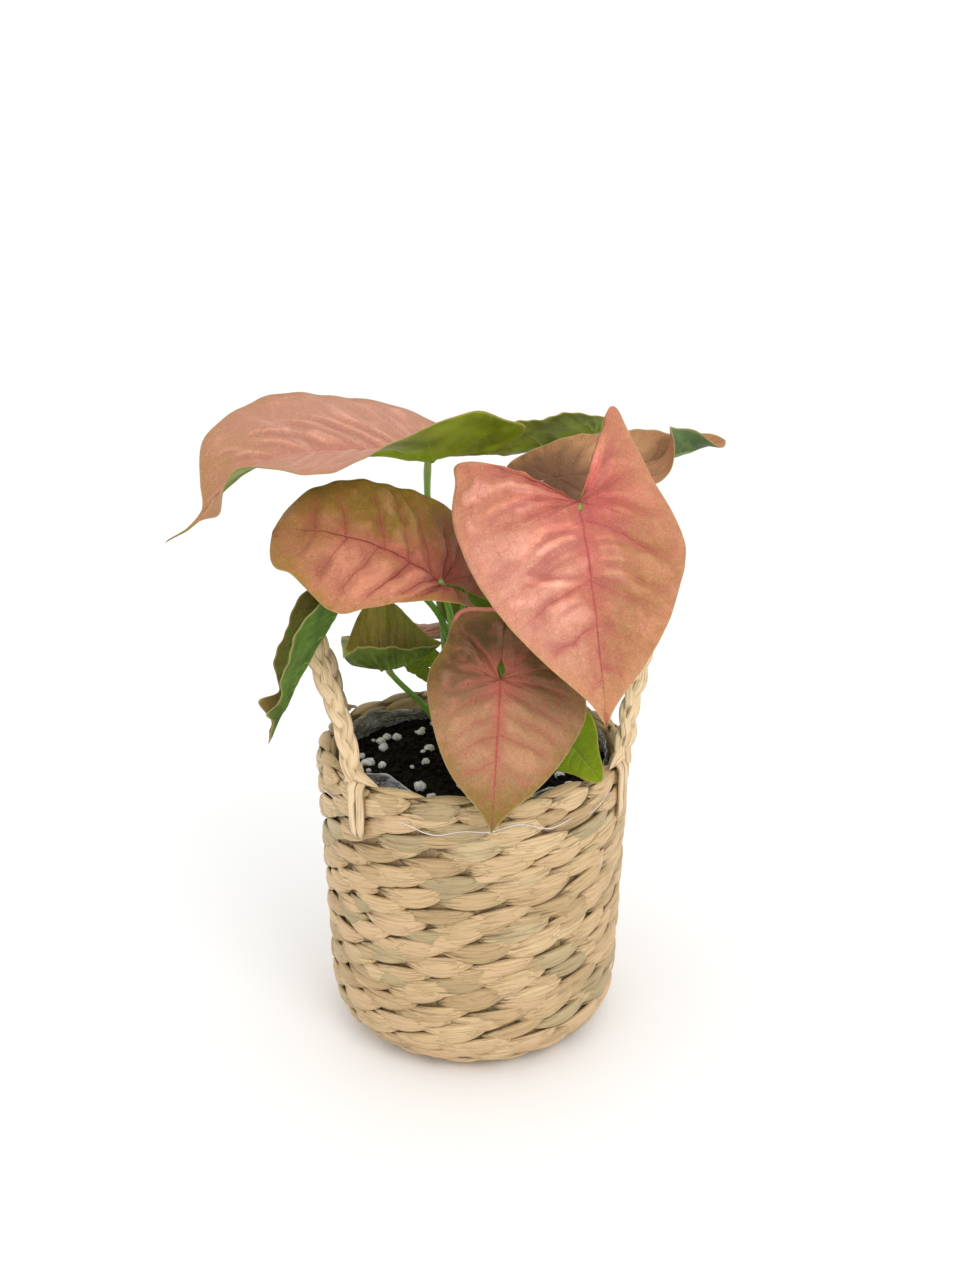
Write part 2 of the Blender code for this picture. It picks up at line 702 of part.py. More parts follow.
def blade_top(leaf):
    """Points and triangles of the upper face, with the rib shared by both halves."""
    points, number, triangles = [], {}, []
    last = LOBE_RAYS + RIB_STEPS

    def corner(side, ray, step, place):
        key = ("rib", max(0, ray - LOBE_RAYS)) if step == 0 or ray == last else (side, ray, step)
        if key not in number:
            number[key] = len(points)
            points.append(place)
        return number[key]

    for side in (0, 1):
        grid = half_surface(leaf, side)
        for ray, step in product(range(last), range(BLADE_COLUMNS)):
            a, b, c, d = (
                corner(side, ray + u, step + v, grid[ray + u, step + v])
                for u, v in ((0, 0), (1, 0), (1, 1), (0, 1))
            )
            for triangle in ((a, b, c), (a, c, d)):
                if len(set(triangle)) == 3:
                    triangles.append(triangle if side == 0 else triangle[::-1])
    return np.array(points), triangles


def make_blade(name):
    """A thin closed blade: the upper face, the same face set down by the thickness, and its edge."""
    top, triangles = blade_top(LEAVES[name])
    corners = top[np.array(triangles)]
    facing = np.cross(corners[:, 1] - corners[:, 0], corners[:, 2] - corners[:, 0])
    normals = np.zeros_like(top)
    for k in range(3):
        np.add.at(normals, np.array(triangles)[:, k], facing)
    normals /= np.linalg.norm(normals, axis=1)[:, None]
    count = len(top)
    points = np.vstack([top, top - BLADE_THICKNESS * normals])
    faces = triangles + [(c + count, b + count, a + count) for a, b, c in triangles]
    edges = {(a, b) for t in triangles for a, b in zip(t, (*t[1:], t[0]))}
    for a, b in sorted(edges):
        if (b, a) not in edges:
            faces += [(b, a, a + count), (b, a + count, b + count)]
    return add_object(f"blade_{name}", points, faces, LEAF_COLOURS[name], 0.45)


# Stalks


def stalk_end(one, radius, approach):
    """Where a stalk stops under its blade, a gap below it, given the way that the stalk comes."""
    (points, left, up), length, turn = placed(one)
    ahead = 2.0 / length
    normal = turn @ at_rib(up, ahead)
    place = np.array(one["at"]) + length * (turn @ at_rib(points, ahead))
    tilt = math.sqrt(max(0.0, 1 - float(approach @ normal) ** 2))
    return place - normal * (BLADE_THICKNESS + GAP + radius * tilt)


def stalk_route(name):
    """Points in mm of a stalk: upright out of its hole, then one smooth curve to its leaf."""
    one = STALKS[name]
    bottom = SOIL_TOP - HOLE_DEPTH + GAP
    foot = np.array([*one["foot"], SOIL_TOP + 1.0])
    rise = foot + np.array([0, 0, one["rise"]])
    bend = np.array(one["bend"], float)
    way = np.array(LEAVES[name]["at"]) - bend
    end = stalk_end(LEAVES[name], one["radius"] * 0.8, way / np.linalg.norm(way))
    t = np.linspace(0, 1, STALK_RINGS)[:, None]
    curve = (1 - t) ** 3 * foot + 3 * (1 - t) ** 2 * t * rise + 3 * (1 - t) * t * t * bend + t**3 * end
    return [Vector((*one["foot"], bottom)), *map(Vector, curve)]


def make_stalk(name):
    """A round stalk, stout at its foot and slimmer at its leaf."""
    route = stalk_route(name)
    first = Vector((1, 0, 0))
    rings = []
    for k, point in enumerate(route):
        ahead = (route[min(k + 1, len(route) - 1)] - route[max(k - 1, 0)]).normalized()
        first = (first - ahead * first.dot(ahead)).normalized()
        second = ahead.cross(first)
        radius = STALKS[name]["radius"] * (1 - 0.2 * max(0, k - 1) / (len(route) - 2))
        ring = []
        for corner in range(STALK_SIDES):
            turn = 2 * math.pi * corner / STALK_SIDES
            ring.append(tuple(point + radius * (math.cos(turn) * first + math.sin(turn) * second)))
        rings.append(ring)
    points, faces = turned_shape(rings, STALK_SIDES)
    return add_object(f"stalk_{name}", points, faces, STALK_COLOUR, 0.4)


def main():
    remove_scene_objects()
    make_basket()
    make_liner()
    make_soil()
    make_thread()
    make_handle("handle_left", -1)
    make_handle("handle_right", 1)
    for name in LEAVES:
        make_blade(name)
        make_stalk(name)


main()
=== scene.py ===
"""Looks of an arrowhead plant: fine leaves, stalks, woven basket, braided handles, film, thread and soil.

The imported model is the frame. Lengths are in millimetres and turned to metres with MM.
"""
import math
import random
from types import SimpleNamespace

import bpy
import numpy as np
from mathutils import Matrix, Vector


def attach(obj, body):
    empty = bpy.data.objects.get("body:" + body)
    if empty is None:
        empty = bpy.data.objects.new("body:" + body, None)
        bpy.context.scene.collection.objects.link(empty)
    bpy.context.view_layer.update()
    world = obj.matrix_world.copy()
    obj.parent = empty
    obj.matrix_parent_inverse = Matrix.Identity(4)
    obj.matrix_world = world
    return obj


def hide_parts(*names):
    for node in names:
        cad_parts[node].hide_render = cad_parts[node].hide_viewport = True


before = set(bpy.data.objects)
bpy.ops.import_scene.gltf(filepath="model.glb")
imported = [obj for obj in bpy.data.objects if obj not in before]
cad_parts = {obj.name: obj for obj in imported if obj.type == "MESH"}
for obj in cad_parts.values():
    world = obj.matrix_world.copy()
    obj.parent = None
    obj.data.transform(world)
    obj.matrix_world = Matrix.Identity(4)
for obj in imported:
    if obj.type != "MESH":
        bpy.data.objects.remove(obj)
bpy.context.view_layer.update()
MM = 0.001
BODY = "root"

# Basket, as in the frame
RIM_RADIUS = 75
RIM_HEIGHT = 142
LOW_RADIUS = 71
CORNER_RADIUS = 22
ROWS = 18
STITCHES = 16
SOIL_TOP = 128
LINER_TOP = 137
THREAD_HEIGHT = 128

# Leaves, as in the frame: HALF is what each half has, WHOLE what a leaf has once
RAY_LEAN = 0.22
THICKNESS = 0.55
HOLE_DEPTH = 12
GAP = 0.3
HALF = dict(
    width=35, lobe=30, lobe_angle=32, cleft=20, cleft_reach=0.7, bulge=0.14, widest=0.16, taper=1.0,
    blunt=0, fold=12, base_fold=0, tip_fold=0, curl=-20, base_curl=0, roll=0, lip=0.0, point=0,
)
WHOLE = dict(
    tail=0.0, droop=20, droop_power=1.4, recurve=0, lobe_droop=15, roll_at=0.6, wave=0.8, waves=3.5,
    sinus=0.0, knob=0.0, ridge=0.6, quilt=0.45, pucker=0.35, detail=1.0, creases=(),
)


def leaf(at, tip, across, **shape):
    """A leaf from where its stalk meets it to its tip. across points from its right edge to its left.

    A value of HALF is one number for both halves, or a pair. A crease is a half, a height, a width
    and corners in mm ahead of the stalk and out from the midrib.
    """
    halves = {key: shape.get(key, value) for key, value in HALF.items()}
    pairs = {key: value if isinstance(value, tuple) else (value, value) for key, value in halves.items()}
    return SimpleNamespace(at=at, tip=tip, across=across, **{**WHOLE, **shape, **pairs})


LEAVES = {
    "top_left": leaf(
        (-18, 2, 275), (-131, -35, 244), (0, -60, -8), width=(37, 46), lobe=(40, 36), lobe_angle=(36, 32),
        widest=(0.15, 0.42), taper=(1.4, 1.42), blunt=(0.9, 0), tail=0.16, droop=115, droop_power=2.6,
        recurve=75, lobe_droop=-8, fold=(-10, 27), base_fold=(52, -6), tip_fold=(-30, 14), curl=(0, -5),
        base_curl=(20, 0), roll=(42, 0), roll_at=0.7, point=(5, 0), quilt=0.7, ridge=-1.0, detail=1.3,
        creases=(
            (1, 1.1, 1.6, ((8, 1), (18, 12), (32, 22), (46, 29))),
            (1, 1.3, 1.7, ((20, 1), (30, 12), (44, 22), (60, 28))),
            (1, 1.1, 1.6, ((31, 1), (42, 12), (57, 22), (72, 26))),
            (1, 1.3, 1.7, ((45, 1), (55, 11), (69, 19), (82, 21))),
            (1, 1.1, 1.6, ((58, 1), (67, 9), (80, 15))),
            (1, 1.0, 1.5, ((71, 1), (80, 8), (91, 12))),
            (0, 0.7, 1.5, ((14, 1), (26, 9), (40, 14))),
            (0, 0.7, 1.5, ((32, 1), (44, 8), (58, 12))),
        ),
    ),
    "top_middle": leaf(
        (59, 46, 282), (-9, 40, 271), (0, -30, 14), width=(26, 20), lobe=13, widest=(0.5, 0.3),
        taper=(1.2, 0.9), droop=-10, fold=5, curl=10,
    ),
    "centre_left": leaf(
        (-12, -45, 229), (-83, -46, 251), (4, -45, -42), width=(34, 39), lobe=(19, 40), lobe_angle=(15, 46),
        cleft=(6, 16), bulge=(-0.03, 0.14), widest=(0.46, 0.2), taper=(1.4, 1.5), blunt=0.75, droop=70,
        droop_power=1.6, fold=0, base_fold=(30, 0), curl=(-20, -15), wave=1.6, waves=2.6, quilt=1.6,
        pucker=1.0,
    ),
    "front_right": leaf(
        (44, -48, 264), (54, -86, 178), (90, 10, 0), width=(42, 51), lobe=(49, 50), lobe_angle=(27, 62),
        cleft=(24, 56), widest=(0.22, 0.16), taper=(1, 0.95), bulge=(0.0, 0.14), blunt=-0.1, droop=25,
        fold=4, curl=(-20, -30), point=(3.0, 5), quilt=1.8, pucker=1.2, detail=1.6,
        creases=(
            (1, 1.5, 2.2, ((11.8, 0.8), (11.5, 7.6), (12.6, 16), (18.3, 22.5), (25, 28))),
            (1, 1.7, 2.6, ((14.6, 0.5), (17, 10), (20.5, 17.5), (28.5, 28.5))),
            (1, -1.1, 1.9, ((28.5, 28), (32, 18), (33.5, 8), (32.5, 1))),
            (1, 1.0, 2.0, ((4.6, 41), (0, 34), (-2.3, 25), (-3.4, 14))),
            (1, 0.6, 1.3, ((10, 43), (4, 43), (-8, 42.5), (-15, 40), (-18, 35), (-16.5, 27))),
            (1, 0.7, 1.6, ((-8, 34), (-9, 26), (-7, 16), (-4, 8))),
            (1, 0.6, 1.5, ((-13, 33), (-13.5, 26), (-11.5, 17))),
            (1, 0.8, 2.2, ((40, 3), (43, 12), (48, 20))),
            (0, 0.8, 1.5, ((18, 2), (17, 9), (19, 16))),
            (0, 0.8, 1.5, ((22, 2), (21.5, 10), (24, 18))),
            (0, 0.9, 1.7, ((26.5, 2), (26.5, 10), (29, 19))),
            (0, 0.8, 1.9, ((32, 2), (33, 12), (37, 20))),
            (0, 1.0, 2.2, ((-3, 5), (-12, 9), (-24, 14), (-34, 17))),
        ),
    ),
    "front_low": leaf(
        (12, -60, 191), (8, -84, 132), (67, 0, -5), width=(37, 31), lobe=(30, 34), lobe_angle=(30, 34),
        cleft=0.2, cleft_reach=0.9, bulge=(0.1, -0.02), widest=(0.16, 0.02), taper=(1.05, 1.25),
        lobe_droop=-22, fold=5, sinus=1.7, lip=(1.6, 0.4), quilt=1.1, pucker=0.7,
    ),
    "inner": leaf(
        (-4, 6, 213), (16, -6, 168), (-40, -6, -17), width=(14, 26), lobe=(12, 16), droop=-15, detail=0.7,
    ),
    "rolled_left": leaf(
        (-57, -52, 220), (-87, -60, 162), (28, -38, -8), width=(22, 15), lobe=13, droop=12, droop_power=1.0,
        fold=(55, 62), curl=(12, 14), knob=1.3, detail=0.9,
    ),
    "cupped": leaf(
        (-42, -8, 179), (-14, -17, 194), (-6, 40, 6), width=(34, 20), lobe=(32, 24), lobe_angle=(50, 36),
        droop=-32, lobe_droop=-22, fold=(50, 55), curl=(0, 20), detail=0.9,
    ),
    "small_left": leaf(
        (-23, 22, 170), (-43, 20, 180), (-3, -20, -8), width=12, lobe=10, droop=10, detail=0.5,
    ),
    "top_right": leaf(
        (38, 0, 266), (120, 34, 279), (0, 40, 24), width=(20, 26), lobe=(23, 36), lobe_angle=36, cleft=3,
        cleft_reach=0.9, bulge=(0.08, 0.14), widest=(0.45, 0.3), taper=(0.85, 0.9), blunt=0.7, droop=-10,
        lobe_droop=30, fold=(4, 5), tip_fold=10, curl=(20, 30), roll=(10, 118), roll_at=0.72,
    ),
    "small_right": leaf(
        (39, -33, 157), (56, -57, 143), (20, 5, 20), width=(16, 15), lobe=10, blunt=0.45, droop=10, wave=0.3,
        detail=0.6,
    ),
    "back_upper": leaf((8, 52, 236), (-22, 116, 205), (-60, -20, 0), width=(36, 38), droop=55, fold=10),
    "back_right": leaf((48, 46, 214), (92, 92, 184), (-40, 40, 0), width=(28, 29), lobe=24, droop=50),
    "back_left": leaf((-31, 42, 179), (-72, 84, 154), (-50, -40, 0), width=26, lobe=22, droop=45),
    "back_low": leaf((13, 62, 182), (25, 108, 146), (-50, 10, 4), width=(25, 27), lobe=(22, 23), droop=40),
}


# Foot in the soil, rise, a point it bends past on its way to the leaf of the same name, and radius
STALKS = {
    "top_left": ((-10, 16), 60, (-24, 8, 236), 1.8),
    "top_middle": ((12, 24), 60, (62, 52, 246), 1.6),
    "centre_left": ((-8, -4), 45, (-6, -26, 206), 1.8),
    "front_right": ((18, 4), 60, (34, -18, 242), 1.9),
    "front_low": ((6, -9), 36, (10, -42, 184), 1.6),
    "inner": ((-1, -13), 40, (-8, -16, 204), 1.3),
    "rolled_left": ((-4, 12), 88, (-34, -14, 232), 1.5),
    "cupped": ((-15, 13), 22, (-34, 0, 164), 1.6),
    "small_left": ((-12, 25), 14, (-17, 26, 150), 1.2),
    "top_right": ((19, 15), 70, (32, 12, 246), 1.7),
    "small_right": ((17, -6), 20, (28, -22, 158), 1.3),
    "back_upper": ((3, 27), 50, (4, 46, 208), 1.8),
    "back_right": ((11, 33), 44, (36, 42, 200), 1.7),
    "back_left": ((-5, 34), 32, (-16, 42, 172), 1.4),
    "back_low": ((4, 36), 36, (12, 54, 164), 1.4),
}

# Colours of the leaves
SALMON = (0.68, 0.245, 0.165)
ROSE = (0.46, 0.085, 0.08)
TAN = (0.37, 0.17, 0.065)
OLIVE = (0.13, 0.09, 0.008)
DUSTY = (0.44, 0.205, 0.13)
PALE_EDGE = (0.45, 0.33, 0.12)
DARK_RED = (0.17, 0.022, 0.02)
PALE_PINK = (0.66, 0.38, 0.30)
GREEN = (0.23, 0.30, 0.006)
DARK_GREEN = (0.07, 0.12, 0.012)
# Pale pink painted highlight for the raised parts of a leaf
PAINTED_HIGHLIGHT_PINK = (0.85, 0.43, 0.35)
RED_LIP = (0.62, 0.20, 0.15)
PALE_UNDERSIDE = (0.34, 0.45, 0.10)


def look(left, right, centre, vein, edge, tip, lobe, under=(0.14, 0.21, 0.006), reach=16, veins=0.6,
         lip=0.0, halo=None, painted_highlight=0.0):
    """Colours of a leaf: halves, the glow round its stalk, veins, edge, tip, lobes and underside, how much
    pale pink painted highlight its raised parts get, and a darker crease colour painted as shade in its
    sunken parts and on the steep flanks of its creases.
    """
    return SimpleNamespace(
        left=left, right=right, centre=centre, vein=vein, edge=edge, tip=tip, lobe=lobe, under=under,
        reach=reach, veins=veins, lip=lip, halo=halo or centre, painted_highlight=painted_highlight,
        # A darker mix of the centre and right colours, painted as shade in sunken parts and on the steep
        # flanks of creases
        crease=[0.5 * a + 0.35 * b for a, b in zip(centre, right)],
    )


LOOKS = {
    "top_left": look(
        DUSTY, DUSTY, (0.50, 0.19, 0.14), (0.60, 0.28, 0.21), (0.36, 0.18, 0.075), (0.32, 0.17, 0.045),
        DUSTY, (0.27, 0.34, 0.006), 12, 0.6, 0.0, PALE_PINK, 0.15,
    ),
    "top_middle": look(TAN, TAN, ROSE, ROSE, PALE_EDGE, TAN, TAN, (0.21, 0.27, 0.012)),
    "centre_left": look(
        (0.50, 0.195, 0.11), (0.20, 0.115, 0.014), (0.38, 0.07, 0.06), DARK_RED, (0.27, 0.17, 0.012),
        (0.27, 0.125, 0.035), (0.24, 0.085, 0.03), GREEN, 19, 0.8, painted_highlight=0.1,
    ),
    "front_right": look(
        (0.375, 0.17, 0.072), (0.60, 0.265, 0.185), ROSE, (0.40, 0.08, 0.07), (0.55, 0.24, 0.125),
        (0.44, 0.22, 0.09), (0.46, 0.175, 0.095), GREEN, 21, 0.5, painted_highlight=0.3,
    ),
    # front_low: the lobes' colour is the leaf's olive-brown darkened with painted shadow cast by front_right
    # and by its own lip
    "front_low": look(
        (0.395, 0.20, 0.10), (0.40, 0.205, 0.105), (0.46, 0.125, 0.085), (0.42, 0.07, 0.065),
        (0.20, 0.12, 0.018), (0.20, 0.14, 0.02), (0.065, 0.032, 0.004), GREEN, 10, 0.35, 0.9, painted_highlight=0.1,
    ),
    "inner": look(OLIVE, OLIVE, OLIVE, TAN, PALE_EDGE, GREEN, OLIVE, (0.13, 0.18, 0.006)),
    "rolled_left": look(
        (0.15, 0.20, 0.03), (0.13, 0.18, 0.025), (0.13, 0.10, 0.02), (0.20, 0.22, 0.05),
        (0.14, 0.075, 0.02), (0.26, 0.13, 0.05), (0.12, 0.14, 0.02), (0.10, 0.19, 0.025),
    ),
    "cupped": look(
        (0.17, 0.165, 0.012), (0.17, 0.165, 0.012), (0.20, 0.13, 0.03), TAN, (0.17, 0.15, 0.012),
        (0.15, 0.18, 0.01), (0.30, 0.23, 0.035), (0.12, 0.18, 0.02),
    ),
    "small_left": look(DARK_GREEN, DARK_GREEN, GREEN, GREEN, GREEN, DARK_GREEN, DARK_GREEN, DARK_GREEN),
    # top_right: the colours of its lobes and of the glow round its stalk are darkened with painted shadow
    # cast by front_right
    "top_right": look(
        (0.42, 0.22, 0.10), (0.38, 0.18, 0.085), (0.13, 0.055, 0.022), (0.24, 0.09, 0.05), TAN, TAN,
        (0.09, 0.038, 0.011), (0.13, 0.20, 0.075),
    ),
    "small_right": look(
        (0.22, 0.33, 0.012), (0.20, 0.29, 0.012), GREEN, (0.30, 0.42, 0.05), GREEN, GREEN, GREEN, GREEN,
    ),
    "back_upper": look(DUSTY, SALMON, ROSE, ROSE, TAN, TAN, DUSTY, GREEN, 18, 0.7),
    "back_right": look(TAN, (0.42, 0.16, 0.08), ROSE, DARK_RED, OLIVE, TAN, TAN, GREEN, 16, 0.8),
    "back_left": look(OLIVE, TAN, ROSE, ROSE, OLIVE, OLIVE, OLIVE, GREEN, 12, 0.7),
    "back_low": look(TAN, TAN, ROSE, ROSE, OLIVE, OLIVE, TAN, GREEN, 14, 0.7),
}


# Numbers


TAU = 2 * math.pi
WAVE_TERMS = 7


def ease(x, low, high):
    t = np.clip((x - low) / (high - low), 0, 1)
    return t * t * (3 - 2 * t)


def bell(x, middle, width):
    return np.exp(-(((x - middle) / width) ** 2))


def unit(vectors):
    return vectors / np.linalg.norm(vectors, axis=-1, keepdims=True)


def circle(count):
    """Angles of points spread evenly round a circle."""
    return TAU * np.arange(count) / count


def stacked(*values):
    return np.stack(np.broadcast_arrays(*values), -1)


def round_axis(radius, angle, height):
    """Points round the basket's axis."""
    return stacked(radius * np.cos(angle), radius * np.sin(angle), height)


def travelled(route):
    """Distance from the first point of a route to each of its points."""
    return np.concatenate([[0], np.cumsum(np.linalg.norm(np.diff(route, axis=0), axis=1))])


def ways_across(route, k, hint):
    """Two directions across a route at its point k, the first as near to the hint as can be."""
    ahead = unit(route[min(k + 1, len(route) - 1)] - route[max(k - 1, 0)])
    first = unit(hint - ahead * (hint @ ahead))
    return first, np.cross(ahead, first)


def waves3(points, size, seed):
    """Smooth random relief from -1 to 1 over points in mm, with features of about this size."""
    rng = np.random.default_rng(seed)
    flat = points.reshape(-1, 3)
    total = np.zeros(len(flat))
    for _ in range(WAVE_TERMS):
        way = rng.normal(size=3)
        way /= np.linalg.norm(way)
        total += np.sin(flat @ way * (TAU / size) * rng.uniform(0.7, 1.4) + rng.uniform(0, 6.28))
    return (total / math.sqrt(WAVE_TERMS) / 1.5).reshape(points.shape[:-1])


def smooth_curve(points, count=48):
    p = np.array(points, float)
    p = np.vstack([2 * p[0] - p[1], p, 2 * p[-1] - p[-2]])
    t = np.linspace(0, 1, count, endpoint=False)[:, None]
    pieces = [
        0.5 * (2 * b + (c - a) * t + (2 * a - 5 * b + 4 * c - d) * t**2 + (3 * b - a - 3 * c + d) * t**3)
        for a, b, c, d in zip(p[:-3], p[1:-2], p[2:-1], p[3:])
    ]
    return np.vstack([*pieces, p[-2][None]])


# Meshes


def per_point(value, count):
    """One row for each of the points, from one number or from a value for each point."""
    return np.reshape(np.full(count, value) if np.isscalar(value) else value, (count, -1))


def piece(name, points, faces, materials, replaces=(), face_material=None, attributes=None):
    """A smooth mesh piece of the object, from points in mm, that rides on the body."""
    points = np.reshape(points, (-1, 3))
    mesh = bpy.data.meshes.new(name)
    mesh.from_pydata((points * MM).tolist(), [], faces)
    for key, values in (attributes or {}).items():
        values = per_point(values, len(points)).astype(np.float32)
        kind, field = ("FLOAT", "value") if values.shape[1] == 1 else ("FLOAT_VECTOR", "vector")
        mesh.attributes.new(key, kind, "POINT").data.foreach_set(field, values.ravel())
    for one in materials:
        mesh.materials.append(one)
    if face_material is not None:
        mesh.polygons.foreach_set("material_index", np.asarray(face_material, np.int32))
    mesh.shade_smooth()
    mesh.update()
    thing = bpy.data.objects.new(name, mesh)
    bpy.context.scene.collection.objects.link(thing)
    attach(thing, BODY)
    if replaces:
        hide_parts(*replaces)


class Parts:
    """Collects closed shapes and their attributes into one mesh."""

    def __init__(self):
        self.points, self.faces, self.values, self.count = [], [], {}, 0

    def add(self, points, faces, **attributes):
        points = np.reshape(points, (-1, 3))
        self.points.append(points)
        self.faces += [tuple(k + self.count for k in face) for face in faces]
        for key, value in attributes.items():
            self.values.setdefault(key, []).append(per_point(value, len(points)))
        self.count += len(points)

    def piece(self, name, material, slot, replaces=()):
        values = {key: np.concatenate(value) for key, value in self.values.items()}
        piece(name, np.concatenate(self.points), self.faces, [material], replaces, None, values)


def tube_faces(rings, sides, closed=False):
    """Faces of rings of points one after another: closed on itself, or with a face at each end."""
    faces = []
    for k in range(rings if closed else rings - 1):
        a, b = k * sides, (k + 1) % rings * sides
        faces += [(a + j, a + (j + 1) % sides, b + (j + 1) % sides, b + j) for j in range(sides)]
    if not closed:
        faces += [tuple(range(sides))[::-1], tuple((rings - 1) * sides + j for j in range(sides))]
    return faces


# Materials


class Shader:
    """Builds one procedural material. colour is what its layers have given so far."""

    def __init__(self, name, roughness=0.5, **fixed):
        self.material = bpy.data.materials.new(name)
        self.material.use_nodes = True
        self.tree = self.material.node_tree
        self.surface = self.tree.nodes["Principled BSDF"]
        self.colour = None
        for key, value in {"Roughness": roughness, **fixed}.items():
            self.surface.inputs[key.replace("_", " ")].default_value = value

    def node(self, kind, inputs=None, **settings):
        new = self.tree.nodes.new(f"ShaderNode{kind}")
        for key, value in settings.items():
            setattr(new, key, value)
        for key, value in (inputs or {}).items():
            self.put(new.inputs[key], value)
        return new

    def put(self, socket, value):
        if isinstance(value, bpy.types.NodeSocket):
            self.tree.links.new(value, socket)
        elif socket.type == "RGBA" and len(value) == 3:
            socket.default_value = (*value, 1.0)
        else:
            socket.default_value = value

    def attribute(self, name, output="Fac"):
        return self.node("Attribute", attribute_name=name).outputs[output]

    def place(self):
        return self.node("TexCoord").outputs["Object"]

    def math(self, operation, a, b=0.0, c=0.0):
        return self.node("Math", {0: a, 1: b, 2: c}, operation=operation).outputs[0]

    def vector(self, operation, a, b):
        key = "Scale" if operation == "SCALE" else 1
        return self.node("VectorMath", {0: a, key: b}, operation=operation).outputs[0]

    def total(self, *terms):
        """Sum of value times weight pairs."""
        result = 0.0
        for value, weight in terms:
            result = self.math("MULTIPLY_ADD", value, weight, result)
        return result

    def times(self, *values):
        result = values[0]
        for value in values[1:]:
            result = self.math("MULTIPLY", result, value)
        return result

    def step(self, value, low, high, amount=None):
        """0 at low and the amount, or 1, at high, smooth between."""
        inputs = {0: value, 1: low, 2: high, 3: 0.0, 4: 1.0}
        share = self.node("MapRange", inputs, interpolation_type="SMOOTHSTEP").outputs[0]
        return share if amount is None else self.times(share, amount)

    def line(self, value):
        """1 along the lines where a noise is at its middle."""
        return self.step(self.math("ABSOLUTE", self.math("SUBTRACT", value, 0.5)), 0.035, 0.0)

    def mix(self, share, a, b):
        return self.node("Mix", {0: share, 6: a, 7: b}, data_type="RGBA").outputs[2]

    def over(self, share, colour):
        """Lays a colour over the layers so far."""
        self.colour = self.mix(share, self.colour, colour)

    def gain(self, share, factor):
        """Makes the layers so far brighter or darker by the factor where share is 1."""
        self.colour = self.vector("SCALE", self.colour, self.math("MULTIPLY_ADD", share, factor - 1, 1.0))

    def noise(self, size, detail=2.0, roughness=0.5, vector=None):
        """Noise from 0 to 1 with features of about this size, in mm or in what the vector holds."""
        scale = 1.0 / (size * (1.0 if vector else MM))
        inputs = {"Vector": vector or self.place(), "Scale": scale, "Detail": detail, "Roughness": roughness}
        return self.node("TexNoise", inputs).outputs["Fac"]

    def warped(self, size, reach):
        """The place, shifted at random by up to half the reach and over about this size, both in mm."""
        noise = self.node("TexNoise", {"Vector": self.place(), "Scale": 1.0 / (size * MM), "Detail": 2.0})
        shift = self.vector("SUBTRACT", noise.outputs["Color"], (0.5, 0.5, 0.5))
        return self.vector("ADD", self.place(), self.vector("SCALE", shift, reach * MM))

    def cells(self, size, vector=None, feature="DISTANCE_TO_EDGE"):
        inputs = {"Vector": vector or self.place(), "Scale": 1.0 / (size * MM)}
        return self.node("TexVoronoi", inputs, feature=feature).outputs["Distance"]

    def finish(self, height=None, strength=1.0, roughness=None):
        """Sets the colour, the bump from a height in mm, and the roughness."""
        self.put(self.surface.inputs["Base Color"], self.colour)
        if height is not None:
            bump = self.node("Bump", {"Height": height, "Distance": MM, "Strength": strength})
            self.put(self.surface.inputs["Normal"], bump.outputs["Normal"])
        if roughness is not None:
            self.put(self.surface.inputs["Roughness"], roughness)
        return self.material


